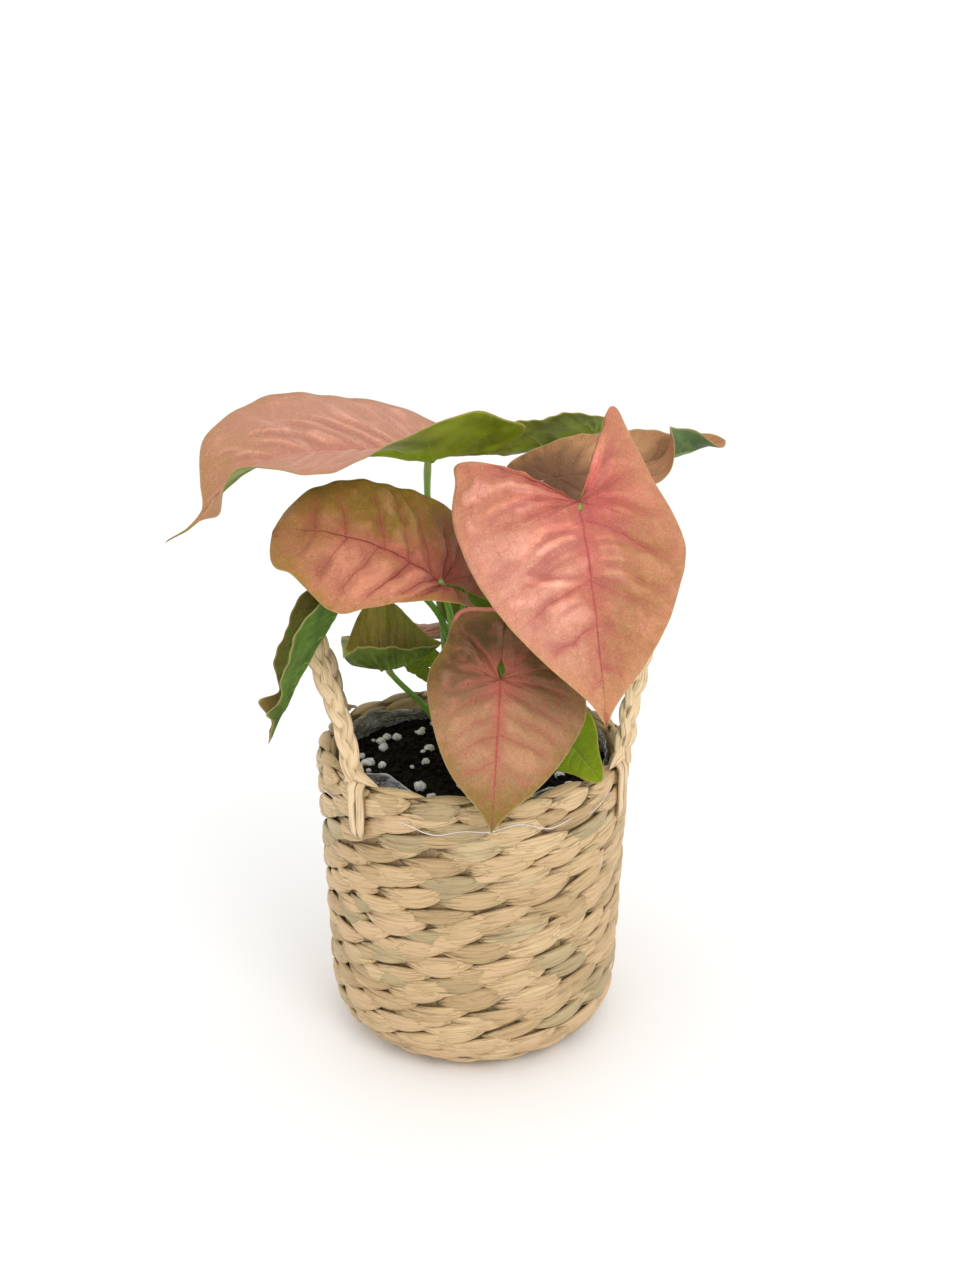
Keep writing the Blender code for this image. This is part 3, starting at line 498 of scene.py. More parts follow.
def leaf_face(name, paint, top):
    """Satin upper face or smooth underside, with ribs, side veins and a fine net between them. The upper
    face carries painted highlight and painted shade over its relief and its creases.
    """
    s = Shader(name, 0.5, Specular_IOR_Level=0.2, Sheen_Weight=0.03)
    names = ("across", "along", "rib_mm", "edge_mm", "vein", "vein_gap", "vein_size")
    across, along, rib, edge, number, gap, size = map(s.attribute, names)
    out = s.math("ABSOLUTE", across)
    cloud, patch, grain = s.noise(17, 3.0), s.noise(5, 3.0, 0.6), s.noise(0.7, 2.0, 0.7)
    off_vein = s.times(s.math("PINGPONG", number, 0.5), gap)
    fade = s.times(s.step(out, 0.97, 0.45), s.step(along, 1.1, 0.45), size)
    thin = s.math("MULTIPLY_ADD", s.step(out, 1.0, 0.0), 0.35, 0.22)
    vein = s.times(s.step(off_vein, thin, 0.04), fade, s.step(s.noise(5), 0.2, 0.45))
    soft_vein = s.times(s.step(off_vein, 2.4, 0.0), fade)
    middle = s.step(rib, s.math("MULTIPLY_ADD", along, -0.5, 0.8), 0.12)
    warped, inside = s.warped(6, 4), s.step(edge, 1.5, 6.0)
    net = s.times(s.step(s.cells(5.2, warped), 0.05, 0.0), s.step(s.noise(8), 0.35, 0.6), inside)
    lane = s.node("CombineXYZ", {0: s.times(number, 5.0), 1: s.times(rib, 0.16), 2: across})
    streak = s.noise(1.0, 2.0, 0.6, lane.outputs[0])
    if top:
        mesh = s.times(s.step(s.cells(1.9, warped), 0.09, 0.0), s.step(s.noise(4), 0.3, 0.6))
        shift = s.total((cloud, 1.3), (patch, 0.4))
        side = s.step(s.math("ADD", across, s.math("SUBTRACT", shift, 0.85)), -0.5, 0.5)
        s.colour = s.mix(side, paint.left, paint.right)
        # Tip, lobes, the glow round the stalk, and the edge
        onward = s.math("ADD", along, s.times(cloud, 0.3))
        s.over(s.step(onward, 0.60, 1.1, 0.85), paint.tip)
        s.over(s.step(onward, 0.48, 0.02, 0.9), paint.lobe)
        near = s.times(s.step(s.attribute("base_mm"), 1.7 * paint.reach, 2.0), s.step(cloud, 0.2, 0.6))
        by_rib = s.times(s.step(rib, 0.55 * paint.reach, 0.5), s.step(along, 0.95, 0.1), 0.7)
        s.over(s.math("MAXIMUM", s.times(near, 0.85), by_rib), paint.centre)
        s.over(s.times(s.step(edge, 10.0, 0.5), s.step(patch, 0.25, 0.7), 0.75), paint.edge)
        s.over(s.step(streak, 0.42, 0.72, 0.22), paint.centre)
        s.gain(s.step(streak, 0.45, 0.2, 0.4), 1.3)
        # Painted highlight on what is raised, stronger on the right-colour half, and painted shade in the
        # crease colour in what is sunken
        relief = s.math("ADD", s.attribute("relief"), s.total((patch, 0.3), (streak, 0.5), (1.0, -0.4)))
        s.gain(s.step(relief, 0.05, 0.8, 0.6), 1.25)
        by_side = s.math("MULTIPLY_ADD", side, 0.75, 0.25)
        s.over(s.times(s.step(relief, 0.3, 0.9), by_side, paint.painted_highlight), PAINTED_HIGHLIGHT_PINK)
        s.over(s.step(relief, 0.0, -0.5, 0.55), paint.crease)
        # Veins and midrib
        s.over(s.times(soft_vein, 0.5 * paint.veins), paint.halo)
        s.over(s.times(vein, paint.veins), paint.vein)
        s.over(s.times(middle, s.step(along, 1.02, 0.6), 0.85), paint.vein)
        s.over(s.times(net, 0.32), paint.vein)
        # Painted highlight on the creases' ridges and gentle flanks and painted shade on their steep flanks,
        # then margin and grain
        shade = s.attribute("shade")
        s.gain(s.step(shade, 0.1, 1.1, 0.8), 1.4)
        s.over(s.step(shade, -0.1, -1.0, 0.75), paint.crease)
        s.over(s.step(edge, 0.9, 0.1, 0.5), PALE_EDGE)
        s.over(s.times(s.step(along, -0.33, -0.40), s.step(edge, 2.4, 1.0), paint.lip), RED_LIP)
        s.gain(s.times(mesh, 0.5), 1.4)
        s.gain(s.step(grain, 0.52, 0.70, 0.5), 1.4)
        s.gain(s.step(grain, 0.45, 0.28, 0.45), 0.6)
        height = s.total(
            (vein, -0.35), (soft_vein, -0.25), (middle, -0.4), (net, -0.12), (mesh, 0.1), (grain, 0.16),
            (patch, 0.5), (streak, 0.5),
        )
    else:
        pale = [0.55 * a + 0.45 * b for a, b in zip(paint.under, PALE_UNDERSIDE)]
        dark = [0.5 * c for c in paint.under]
        s.colour = s.mix(s.step(cloud, 0.3, 0.7), paint.under, dark)
        s.over(s.step(patch, 0.4, 0.8, 0.4), pale)
        s.over(s.times(vein, 0.7), pale)
        s.over(s.times(middle, 0.8), pale)
        s.over(s.times(net, 0.3), dark)
        s.over(s.step(edge, 1.2, 0.1, 0.6), PALE_EDGE)
        height = s.total((vein, 0.3), (middle, 0.3), (net, 0.1), (grain, 0.05), (patch, 0.3), (streak, 0.25))
    return s.finish(height, 0.6, s.math("MULTIPLY_ADD", patch, 0.25, 0.40))


def mottled(name, size, a, b, roughness=0.5, **fixed):
    """A plain material that goes softly from one colour to another."""
    s = Shader(name, roughness, **fixed)
    s.colour = s.mix(s.noise(size), a, b)
    return s.finish()


def stalk_skin():
    s = Shader("stalk_skin", 0.35)
    along = s.attribute("along")
    streak = s.noise(1.0, 2.0, 0.6, s.attribute("fibre", "Vector"))
    s.colour = s.mix(s.step(streak, 0.3, 0.7), (0.13, 0.27, 0.02), (0.20, 0.36, 0.045))
    s.over(s.step(along, 0.82, 1.0, 0.5), (0.34, 0.30, 0.10))
    s.over(s.step(along, 0.16, 0.0, 0.7), (0.36, 0.40, 0.16))
    return s.finish(s.total((streak, 0.12), (s.noise(0.8), 0.05)))


WEAVE_LIGHT = (0.665, 0.465, 0.245)
WEAVE_DARK = (0.445, 0.30, 0.145)
BRAID_LIGHT = (0.93, 0.71, 0.44)
BRAID_DARK = (0.76, 0.55, 0.32)
RED_STRAW = (0.62, 0.40, 0.235)
GREEN_STRAW = (0.41, 0.355, 0.20)
PALE_STRAW = (0.76, 0.57, 0.32)
STAIN = (0.37, 0.26, 0.12)
DARK_FIBRE = (0.30, 0.19, 0.075)
SPLIT = (0.22, 0.135, 0.05)
# Painted shade for straw that lies low, folded or tucked under
STRAW_SHADE = (0.19, 0.122, 0.055)


def straw(name, light, dark):
    """Dry flattened plant stems: streaks and creases along each strand, and its own tone. Parts that lie
    low, folded or tucked under get painted shade.
    """
    s = Shader(name, 0.5, Specular_IOR_Level=0.35)
    fibre, tone = s.attribute("fibre", "Vector"), s.attribute("tone")
    streak, fine = s.noise(1.0, 3.0, 0.65, fibre), s.noise(0.3, 2.0, 0.6, fibre)
    line = s.times(s.line(s.noise(1.7, 1.0, 0.5, fibre)), s.step(s.attribute("calm"), 1.25, 0.75))
    s.colour = s.mix(s.step(s.total((streak, 0.5), (tone, 0.5)), 0.2, 0.75), dark, light)
    s.over(s.step(tone, 0.74, 0.84, 0.4), RED_STRAW)
    s.over(s.step(tone, 0.16, 0.10, 0.5), GREEN_STRAW)
    pale = s.step(s.math("PINGPONG", s.math("MULTIPLY", tone, 7.3), 0.5), 0.3, 0.5)
    s.over(s.times(pale, s.step(streak, 0.3, 0.6), 0.6), PALE_STRAW)
    s.over(s.step(s.noise(15, 3.0), 0.52, 0.75, 0.3), STAIN)
    s.over(s.step(fine, 0.42, 0.2, 0.5), DARK_FIBRE)
    s.over(s.times(line, 0.38), SPLIT)
    # Painted shade, as strong as each part's shade amount
    s.over(s.step(s.attribute("depth"), 0.1, 1.0), STRAW_SHADE)
    return s.finish(s.total((streak, 0.5), (fine, 0.25), (line, -0.4)), 0.8)


def clear_film():
    """Clear film in long crinkles, with painted reflections along its folds and painted glints along its
    folds and its edge.
    """
    s = Shader("clear_film", 0.08, Alpha=0.45, Specular_IOR_Level=1.0)
    crinkle, fold = s.noise(4, 3.0, 0.65), s.noise(1.0, 2.0, 0.55, s.attribute("lengthwise", "Vector"))
    glint = s.line(fold)
    # Painted reflection: dark grey film that turns pale along the folds
    s.colour = s.mix(s.step(fold, 0.35, 0.75), (0.16, 0.17, 0.185), (0.55, 0.57, 0.60))
    # Painted glints: white along the fold lines and along the top edge
    s.over(s.math("MAXIMUM", glint, s.step(s.attribute("drop"), 0.8, 0.2)), (1.0, 1.0, 1.0))
    return s.finish(s.total((crinkle, 0.9), (fold, 0.8), (glint, 0.5)))


def dark_soil():
    s = Shader("dark_soil", 0.85, Specular_IOR_Level=0.1)
    grain, clod = s.noise(1.4, 3.0, 0.7), s.noise(5, 2.0)
    s.colour = s.mix(s.step(grain, 0.35, 0.75), (0.004, 0.003, 0.002), (0.020, 0.013, 0.008))
    s.over(s.step(clod, 0.55, 0.8, 0.5), (0.035, 0.020, 0.010))
    return s.finish(s.total((grain, 1.0), (clod, 0.5)))


def white_perlite():
    s = Shader("white_perlite", 0.85)
    s.colour = s.mix(s.step(s.noise(2.0, 3.0), 0.3, 0.65), (0.55, 0.53, 0.50), (0.90, 0.89, 0.87))
    return s.finish(s.total((s.cells(0.8, feature="F1"), -0.3), (s.noise(0.6), 0.2)))


# Leaf shape, as in the frame


POINT_SIZE = 6.5
LOBE_REACH = 0.4
RIB_GRID = np.linspace(-0.9, 1.05, 391)
BASE_SPAN = (-0.2, 0.55)
TIP_SPAN = (0.45, 1.0)
RECURVE_SPAN = (0.78, 1.0)
ROLL_WIDTH = 0.13
SECTION_STEPS = 16
# Rays over a lobe, steps along the midrib and steps along a ray, which are closer near the midrib
LEAF_GRID = (30, 56, 26)
COLUMN_POWER = 1.15
# Middle and width of the slit between the lobes, along a ray
SLIT = (0.15, 0.1)
# Where the rolled leaf narrows and swells, in leaf lengths
NECK = (0.5, 0.66)
KNOB = (0.76, 0.06)
BEAK = (0.93, 0.035)
GROOVE_WIDTH = 1.2
SPINE_WIDTH = 1.3


def margin(shape, side, length):
    """Flat edge of one half, in leaf lengths, from the cleft behind the stalk round the lobe to the tip."""
    width, lobe = shape.width[side] / length, shape.lobe[side] / length
    widest, taper, blunt = shape.widest[side], shape.taper[side], shape.blunt[side]

    def behind(distance, degrees):
        turn = math.radians(degrees)
        return np.array((-distance * math.cos(turn), distance * math.sin(turn)))

    apex, broad = behind(lobe, shape.lobe_angle[side]), np.array((widest, width))
    run = broad - apex
    shoulder = (apex + broad) / 2 + shape.bulge[side] * np.array((-run[1], run[0]))
    ahead = 1 - shape.tail - widest
    drip = [(1 - 0.8 * shape.tail, 0.035 * width)] if shape.tail else []
    edge = smooth_curve([
        behind(shape.cleft_reach[side] * lobe, shape.cleft[side]),
        apex,
        shoulder,
        broad,
        (widest + 0.33 * ahead, 0.81 * width * (0.7 + 0.3 * taper)),
        (widest + 0.62 * ahead, 0.49 * width * taper),
        (widest + 0.84 * ahead, (0.175 + 0.3 * blunt) * width * taper),
        (widest + 0.95 * ahead, (0.05 + 0.22 * blunt) * width * taper),
        *drip,
        (1.0, 0.0),
    ])
    near = bell(np.linalg.norm(edge - apex, axis=1) * length, 0, POINT_SIZE)
    return edge + near[:, None] * apex * shape.point[side] / length / np.linalg.norm(apex)


def ray_ends(shape, side, length, lobe_rays, rib_steps):
    """Where each ray meets the edge, and where it leaves the rib: lobe rays first, then rib steps."""
    edge = margin(shape, side, length)
    turn = int(np.argmax(edge[:, 0] > RAY_LEAN))
    steps = np.linspace(0, 1, rib_steps + 1)
    lobe, blade = edge[: turn + 1], edge[turn - 1:]
    run = travelled(lobe)
    along = np.linspace(0, run[-1], lobe_rays + 1)[:-1]
    lobe_ends = np.stack([np.interp(along, run, lobe[:, k]) for k in (0, 1)], -1)
    x = RAY_LEAN + (1 - RAY_LEAN) * steps
    blade_ends = np.stack([x, np.interp(x, blade[:, 0], blade[:, 1])], -1)
    blade_ends[-1] = (1.0, 0.0)
    starts = np.concatenate([np.zeros(lobe_rays), steps])
    return np.vstack([lobe_ends, blade_ends]), stacked(starts, 0.0)


def rib(shape):
    """The bent midrib in leaf lengths: points, left and up directions over RIB_GRID."""
    ahead, behind = np.clip(RIB_GRID, 0, None), np.clip(-RIB_GRID, 0, None)
    bend = math.radians(shape.droop) * ahead**shape.droop_power
    bend -= math.radians(shape.recurve) * ease(ahead, *RECURVE_SPAN)
    bend -= math.radians(shape.lobe_droop) * (behind / LOBE_REACH) ** 1.2
    step = stacked(np.cos(bend), 0.0, -np.sin(bend))
    up = stacked(np.sin(bend), 0.0, np.cos(bend))
    pieces = (step[1:] + step[:-1]) / 2 * np.diff(RIB_GRID)[:, None]
    points = np.vstack([np.zeros(3), np.cumsum(pieces, axis=0)])
    points -= at_rib(points, 0.0)
    return points, np.cross(up, step), up


def at_rib(values, x):
    return np.stack([np.interp(x, RIB_GRID, values[:, k]) for k in range(3)], -1)


def axes(along, across):
    x = unit(along)
    y = unit(across - (across @ x) * x)
    return np.stack([x, y, np.cross(x, y)], -1)


def cross_section(shape, side, length, x, y):
    """How far out and how high a point of the half lies, once the half is folded and curled."""
    base, tip = 1 - ease(x, *BASE_SPAN), ease(x, *TIP_SPAN)
    fold = shape.fold[side] + shape.base_fold[side] * base + shape.tip_fold[side] * tip
    fold = fold + shape.roll[side] * bell(x, shape.roll_at, ROLL_WIDTH)
    curl = shape.curl[side] + shape.base_curl[side] * base
    share = (np.arange(SECTION_STEPS) + 0.5) / SECTION_STEPS
    reach = np.clip(y, 0, None)[..., None] * share * length / shape.width[side]
    angle = np.radians(fold)[..., None] + np.radians(curl)[..., None] * reach**1.5
    return y * np.cos(angle).mean(-1), y * np.sin(angle).mean(-1)


def placed(shape):
    """The bent rib, its length in mm and the turn that lays its two ends on at and tip."""
    at, tip, across = (np.array(value, float) for value in (shape.at, shape.tip, shape.across))
    points, left, up = rib(shape)
    chord = at_rib(points, 1.0)
    length = np.linalg.norm(tip - at) / np.linalg.norm(chord)
    turn = axes(tip - at, across) @ axes(chord, np.array([0.0, 1.0, 0.0])).T
    return (points, left, up), length, turn


# Where the side veins start along the midrib, in leaf lengths, and how much that varies
VEINS_AT = np.array([-1.3, -0.72, -0.42, -0.15, 0.08, 0.23, 0.39, 0.56, 0.75, 0.95, 1.25])
VEIN_VARIES = 0.035
VEIN_SEED = 100
VEIN_SWEEP = 0.08
VEIN_WANDER = 0.09
CREASE_STEPS = 40
STEEP_FLANK = 0.6
GENTLE_FLANK = 1.5


def creases(shape, side, ahead, out):
    """Height in mm and shade of the half's long creases, each with a gentle and a steep flank."""
    total, shade = np.zeros_like(ahead), np.zeros_like(ahead)
    for half, height, width, corners in shape.creases:
        if half == side:
            steps = np.linspace(0, len(corners) - 1, CREASE_STEPS)
            line = [np.interp(steps, range(len(corners)), axis) for axis in zip(*corners)]
            gap = np.hypot(ahead[..., None] - line[0], out[..., None] - line[1])
            near = gap.argmin(-1)
            gap = gap.min(-1) / width
            steep = ahead > line[0][near]
            share = near / (CREASE_STEPS - 1)
            strength = height * ease(share, -0.1, 0.25) * ease(share, 1.1, 0.6)
            total += strength * bell(gap, 0, np.where(steep, STEEP_FLANK, GENTLE_FLANK))
            # The shade is painted highlight on the ridge and its gentle flank, and painted shadow just past
            # it on the steep flank
            dark = np.where(steep, 1.0, 0.0) * bell(gap, 1.3, 0.8)
            shade += strength * (bell(gap, 0, np.where(steep, 0.5, 1.3)) - dark)
    return total, shade


def half_leaf(shape, side, lobe_rays, rib_steps, columns, seed):
    """Points in mm of one half by ray and step, and what the relief and the material need there."""
    (points, left, up), length, turn = placed(shape)
    ends, starts = ray_ends(shape, side, length, lobe_rays, rib_steps)
    t = (np.linspace(0, 1, columns + 1) ** COLUMN_POWER)[None, :] * np.ones((len(ends), 1))
    flat = starts[:, None] + (ends - starts)[:, None] * t[..., None]
    x, y = flat[..., 0], flat[..., 1]
    order = np.concatenate([np.linspace(-1, 0, lobe_rays, endpoint=False), np.linspace(0, 1, rib_steps + 1)])
    order = order[:, None] * np.ones_like(t)
    y = y + shape.sinus / length * bell(t, *SLIT) * np.clip(-order, 0, 1) ** 4
    knobs = bell(x, *KNOB) + 0.5 * bell(x, *BEAK) - 0.3 * ease(x, *NECK)
    y = y * (1 + shape.knob * knobs)
    out, rise = cross_section(shape, side, length, x, y)
    s = np.linspace(0, 1, len(ends))[:, None]
    wave = shape.wave / length * np.sin(TAU * (shape.waves * s + 0.37 * side))
    ripple = 0.35 * shape.wave / length * np.sin(TAU * (3.3 * shape.waves * s + 0.61 * side))
    rise = rise + (wave * t**2 + ripple * t**4) * np.sin(math.pi * s) ** 0.5
    rise = rise + shape.lip[side] / length * ease(t, 0.86, 1.0) * ease(order, -0.25, -0.6)
    sign = 1 if side == 0 else -1
    local = at_rib(points, x) + sign * out[..., None] * at_rib(left, x) + rise[..., None] * at_rib(up, x)
    place = np.array(shape.at) + length * (local @ turn.T)
    reach = np.linalg.norm(ends - starts, axis=1)[:, None] * length
    rng = np.random.default_rng(VEIN_SEED + 2 * seed + side)
    free = len(VEINS_AT) - 2
    veins_at = VEINS_AT + np.concatenate([[0], rng.uniform(-VEIN_VARIES, VEIN_VARIES, free), [0]])
    sizes = np.concatenate([[0.5], rng.uniform(0.35, 1.0, free), [0.5]])
    vein = np.interp(order - VEIN_SWEEP * t**2, veins_at, np.arange(len(veins_at)))
    vein = vein + VEIN_WANDER * waves3(place, 15, seed + 9 * side) * ease(t, 0.05, 0.5)
    vein_size = sizes[np.clip(np.round(vein).astype(int), 0, len(sizes) - 1)]
    crease, shade = creases(shape, side, x * length, y * length)
    return place, dict(
        across=-sign * t, along=x, rib_mm=t * reach, edge_mm=(1 - t) * reach,
        base_mm=np.hypot(x, y) * length, vein=vein, vein_size=vein_size, crease=crease, shade=shade,
    )


def slope_size(place, value):
    """How many mm lie between one whole step of the value and the next."""
    pr, pc = np.gradient(place, axis=0), np.gradient(place, axis=1)
    vr, vc = np.gradient(value, axis=0), np.gradient(value, axis=1)
    a, b, c = (pr * pr).sum(-1), (pr * pc).sum(-1), (pc * pc).sum(-1)
    det = np.maximum(a * c - b * b, 1e-9)
    squared = (c * vr * vr - 2 * b * vr * vc + a * vc * vc) / det
    return np.clip(1 / np.sqrt(np.maximum(squared, 1e-9)), 0, 30)


def normals_of(points, faces):
    triangles = np.array([t for f in faces for t in (f[:3], (f[0], *f[-2:]))[: len(f) - 2]])
    corners = points[triangles]
    facing = np.cross(corners[:, 1] - corners[:, 0], corners[:, 2] - corners[:, 0])
    normals = np.zeros_like(points)
    for k in range(3):
        np.add.at(normals, triangles[:, k], facing)
    return normals / np.maximum(np.linalg.norm(normals, axis=1), 1e-12)[:, None]


def leaf_numbers(rows, columns, lobe_rays):
    """Number of the vertex at each ray and step. The lobe rays share one in the middle, the tip is one."""
    numbers = np.arange(rows * columns).reshape(rows, columns)
    middle = columns // 2
    numbers[:lobe_rays, middle] = numbers[lobe_rays, middle]
    numbers[-1, :] = numbers[-1, middle]
    kept, numbers = np.unique(numbers, return_inverse=True)
    return kept, numbers.reshape(rows, columns)


def leaf_faces(numbers):
    """Faces of the upper side, facing up, without the ones that have no size."""
    corners = (numbers[:-1, 1:], numbers[1:, 1:], numbers[1:, :-1], numbers[:-1, :-1])
    faces = [tuple(dict.fromkeys(four)) for four in zip(*(corner.ravel().tolist() for corner in corners))]
    return [face for face in faces if len(face) > 2]


def make_leaf(name, seed):
    """A blade with sunken veins and soft quilting above, and raised ribs below."""
    shape, paint = LEAVES[name], LOOKS[name]
    lobe_rays, rib_steps, columns = (int(k * shape.detail) for k in LEAF_GRID)
    halves = [half_leaf(shape, side, lobe_rays, rib_steps, columns, seed) for side in (0, 1)]

    def joined(pair):
        return np.concatenate([pair[0][:, :0:-1], pair[1]], axis=1)

    grid = joined([half[0] for half in halves])
    values = {key: joined([half[1][key] for half in halves]) for key in halves[0][1]}
    values["vein_gap"] = slope_size(grid, values["vein"])
    kept, numbers = leaf_numbers(*grid.shape[:2], lobe_rays)
    points = grid.reshape(-1, 3)[kept]
    values = {key: value.ravel()[kept] for key, value in values.items()}
    faces = leaf_faces(numbers)
    up = normals_of(points, faces)

    v, gap, t, rib_mm, along = (values[key] for key in ("vein", "vein_gap", "across", "rib_mm", "along"))
    off, t = np.abs(v - np.round(v)) * gap, np.abs(t)
    inside = ease(values["edge_mm"], 1.0, 8.0)
    fine = ease(along, 1.0, 0.3)
    swell = np.sin(math.pi * v) ** 2 * ease(gap, 2, 9) * ease(rib_mm, 0, 6) * inside * fine
    swell = swell * (0.75 + 0.5 * waves3(points, 26, seed + 20))
    groove = values["vein_size"] * bell(off, 0, GROOVE_WIDTH) * ease(t, 0.0, 0.08) * ease(t, 0.95, 0.5)
    spine = bell(rib_mm, 0, SPINE_WIDTH) * ease(along, 1.0, -0.1)
    relief = shape.quilt * (swell - shape.ridge * groove) - 0.5 * spine
    relief += shape.pucker * inside * (waves3(points, 17, seed) + 0.35 * waves3(points, 7, seed + 50))
    lane = np.stack([v * 5.0, rib_mm * 0.16, values["across"] * 9], -1)
    relief += 0.4 * shape.pucker * inside * fine * waves3(lane * 3, 6, seed + 80)
    # The upper face paints highlight on the raised parts and shade in the sunken ones from this
    values["relief"] = np.clip(relief / (0.6 + shape.quilt), -1, 1)
    relief += values.pop("crease")
    top = points + relief[:, None] * up
    thickness = THICKNESS * (0.4 + 0.6 * ease(values["edge_mm"], 0, 1.5))
    ridges = 0.3 * bell(off, 0, 0.8) * inside + 1.1 * bell(rib_mm, 0, 1.1) * fine
    bottom = top - (thickness + ridges)[:, None] * up

    count = len(top)
    under = [tuple(k + count for k in face[::-1]) for face in faces]
    edges = {(face[k - 1], face[k]) for face in faces for k in range(len(face))}
    rim = [(b, a, a + count, b + count) for a, b in sorted(edges) if (b, a) not in edges]
    piece(
        f"leaf_{name}", np.vstack([top, bottom]), faces + under + rim,
        [
            leaf_face(f"leaf_{name}_top", paint, True), leaf_face(f"leaf_{name}_under", paint, False),
            mottled(f"leaf_{name}_rim", 4, paint.edge, PALE_EDGE),
        ],
        (f"blade_{name}",), [0] * len(faces) + [1] * len(under) + [2] * len(rim),
        {key: np.tile(value, 2) for key, value in values.items()},
    )


# Stalks


def stalk_route(name, steps):
    """Points in mm of a stalk: out of its hole and in one smooth curve to the underside of its leaf."""
    shape = LEAVES[name]
    foot, rise, bend, _ = STALKS[name]
    ground = np.array([*foot, SOIL_TOP + 1.0])
    foot = np.array([*foot, SOIL_TOP - HOLE_DEPTH + GAP])
    rise = ground + np.array([0, 0, rise])
    (points, _, up), length, turn = placed(shape)
    ahead = 2.0 / length
    normal = turn @ at_rib(up, ahead)
    end = np.array(shape.at) + length * (turn @ at_rib(points, ahead)) - 0.6 * normal
    t = np.linspace(0, 1, steps)[:, None]
    bend = np.array(bend, float)
    curve = (1 - t) ** 3 * ground + 3 * (1 - t) ** 2 * t * rise + 3 * (1 - t) * t * t * bend + t**3 * end
    return np.vstack([foot, curve])


def make_stalk(name, skin):
    """A fleshy stalk with a thin sheath on its lower part and a slight knee under the blade."""
    steps, sides = 44, 16
    route = stalk_route(name, steps)
    share = np.concatenate([[0], np.linspace(0, 1, steps)])
    turn = circle(sides)
    radius = STALKS[name][-1] * (1.1 - 0.3 * share + 0.18 * bell(share, 0.95, 0.04))
    wings = bell(turn, 1.2, 0.3) + bell(turn, 2.6, 0.3)
    sheath = 0.5 * ease(share, 0.42, 0.3) * ease(share, -0.01, 0.06)
    hollow = 0.22 * bell(turn, 1.9, 0.4)
    widths = radius[:, None] * (1 + sheath[:, None] * (wings - hollow) - 0.3 * hollow)
    rings, first = [], np.array((1.0, 0.0, 0.0))
    for k, point in enumerate(route):
        first, second = ways_across(route, k, first)
        around = np.cos(turn)[:, None] * first + np.sin(turn)[:, None] * second
        rings.append(point + widths[k][:, None] * around)
    fibre = stacked(share[:, None] * 12, np.cos(turn) * 1.6, np.sin(turn) * 1.6)
    piece(
        f"petiole_{name}", rings, tube_faces(len(route), sides), [skin],
        (f"stalk_{name}",), None, dict(along=np.repeat(share, sides), fibre=fibre),
    )


# Basket


RIM_TURN = 4.0
CORNER_LENGTH = CORNER_RADIUS * math.pi / 2
WALL_LENGTH = math.hypot(RIM_HEIGHT - RIM_TURN - CORNER_RADIUS, RIM_RADIUS - LOW_RADIUS)
ROW = (CORNER_LENGTH + math.hypot(RIM_HEIGHT - CORNER_RADIUS, RIM_RADIUS - LOW_RADIUS) - 2.2) / ROWS
SINK = 1.6
INSIDE_RADIUS = 63
FILM_RADIUS = 62.4
WEAVE_SEED = 11
STRAND_CREASES = 6
STAKES = 32
STAKE_DEPTH = 2.9


def wall_profile(travel):
    """Radius, height and outward direction at a distance up the outside from the flat base's edge.

    Below 0 it runs in under the base. Past the wall it runs over the rim and down the inside.
    """
    travel = np.asarray(travel, float)
    corner = np.clip(travel / CORNER_RADIUS, 0, math.pi / 2)
    rise = np.clip((travel - CORNER_LENGTH) / WALL_LENGTH, 0, 1)
    over = np.clip((travel - CORNER_LENGTH - WALL_LENGTH) / RIM_TURN, 0, math.pi)
    down = np.clip(travel - CORNER_LENGTH - WALL_LENGTH - math.pi * RIM_TURN, 0, None)
    r = LOW_RADIUS - CORNER_RADIUS + np.minimum(travel, 0) + CORNER_RADIUS * np.sin(corner)
    r = r + (RIM_RADIUS - LOW_RADIUS) * rise - RIM_TURN * (1 - np.cos(over))
    z = CORNER_RADIUS * (1 - np.cos(corner)) + (RIM_HEIGHT - RIM_TURN - CORNER_RADIUS) * rise
    z = z + RIM_TURN * np.sin(over) - down
    out_r = np.where(travel < CORNER_LENGTH, np.sin(corner), np.cos(over))
    out_z = np.where(travel < CORNER_LENGTH, -np.cos(corner), np.sin(over))
    return r, z, out_r, out_z


def on_wall(angle, travel, height):
    """Points at an angle round the basket, a distance up its outside and a height over its surface."""
    r, z, out_r, out_z = wall_profile(travel)
    return round_axis(r + out_r * height, angle, z + out_z * height)


def inside(low, height):
    """Radius at a height on the inside, which widens a little from its low radius to the rim."""
    return low + 4 * (height - 18) / (RIM_HEIGHT - 18)


# Section of a stitch: how far across and how high, from -1 to 1. The last two points are its back.
EVEN_TURNS = np.linspace(0.02, math.pi - 0.02, 12)
TOP_ACROSS = np.cos(EVEN_TURNS * 0.5 + 0.5 * np.arccos(np.linspace(0.995, -0.995, 12)))
STITCH_ACROSS = np.concatenate([TOP_ACROSS, [-0.6, 0.6]])
STITCH_LIFT = np.concatenate([np.sqrt(1 - TOP_ACROSS**2), [-0.8, -0.8]])


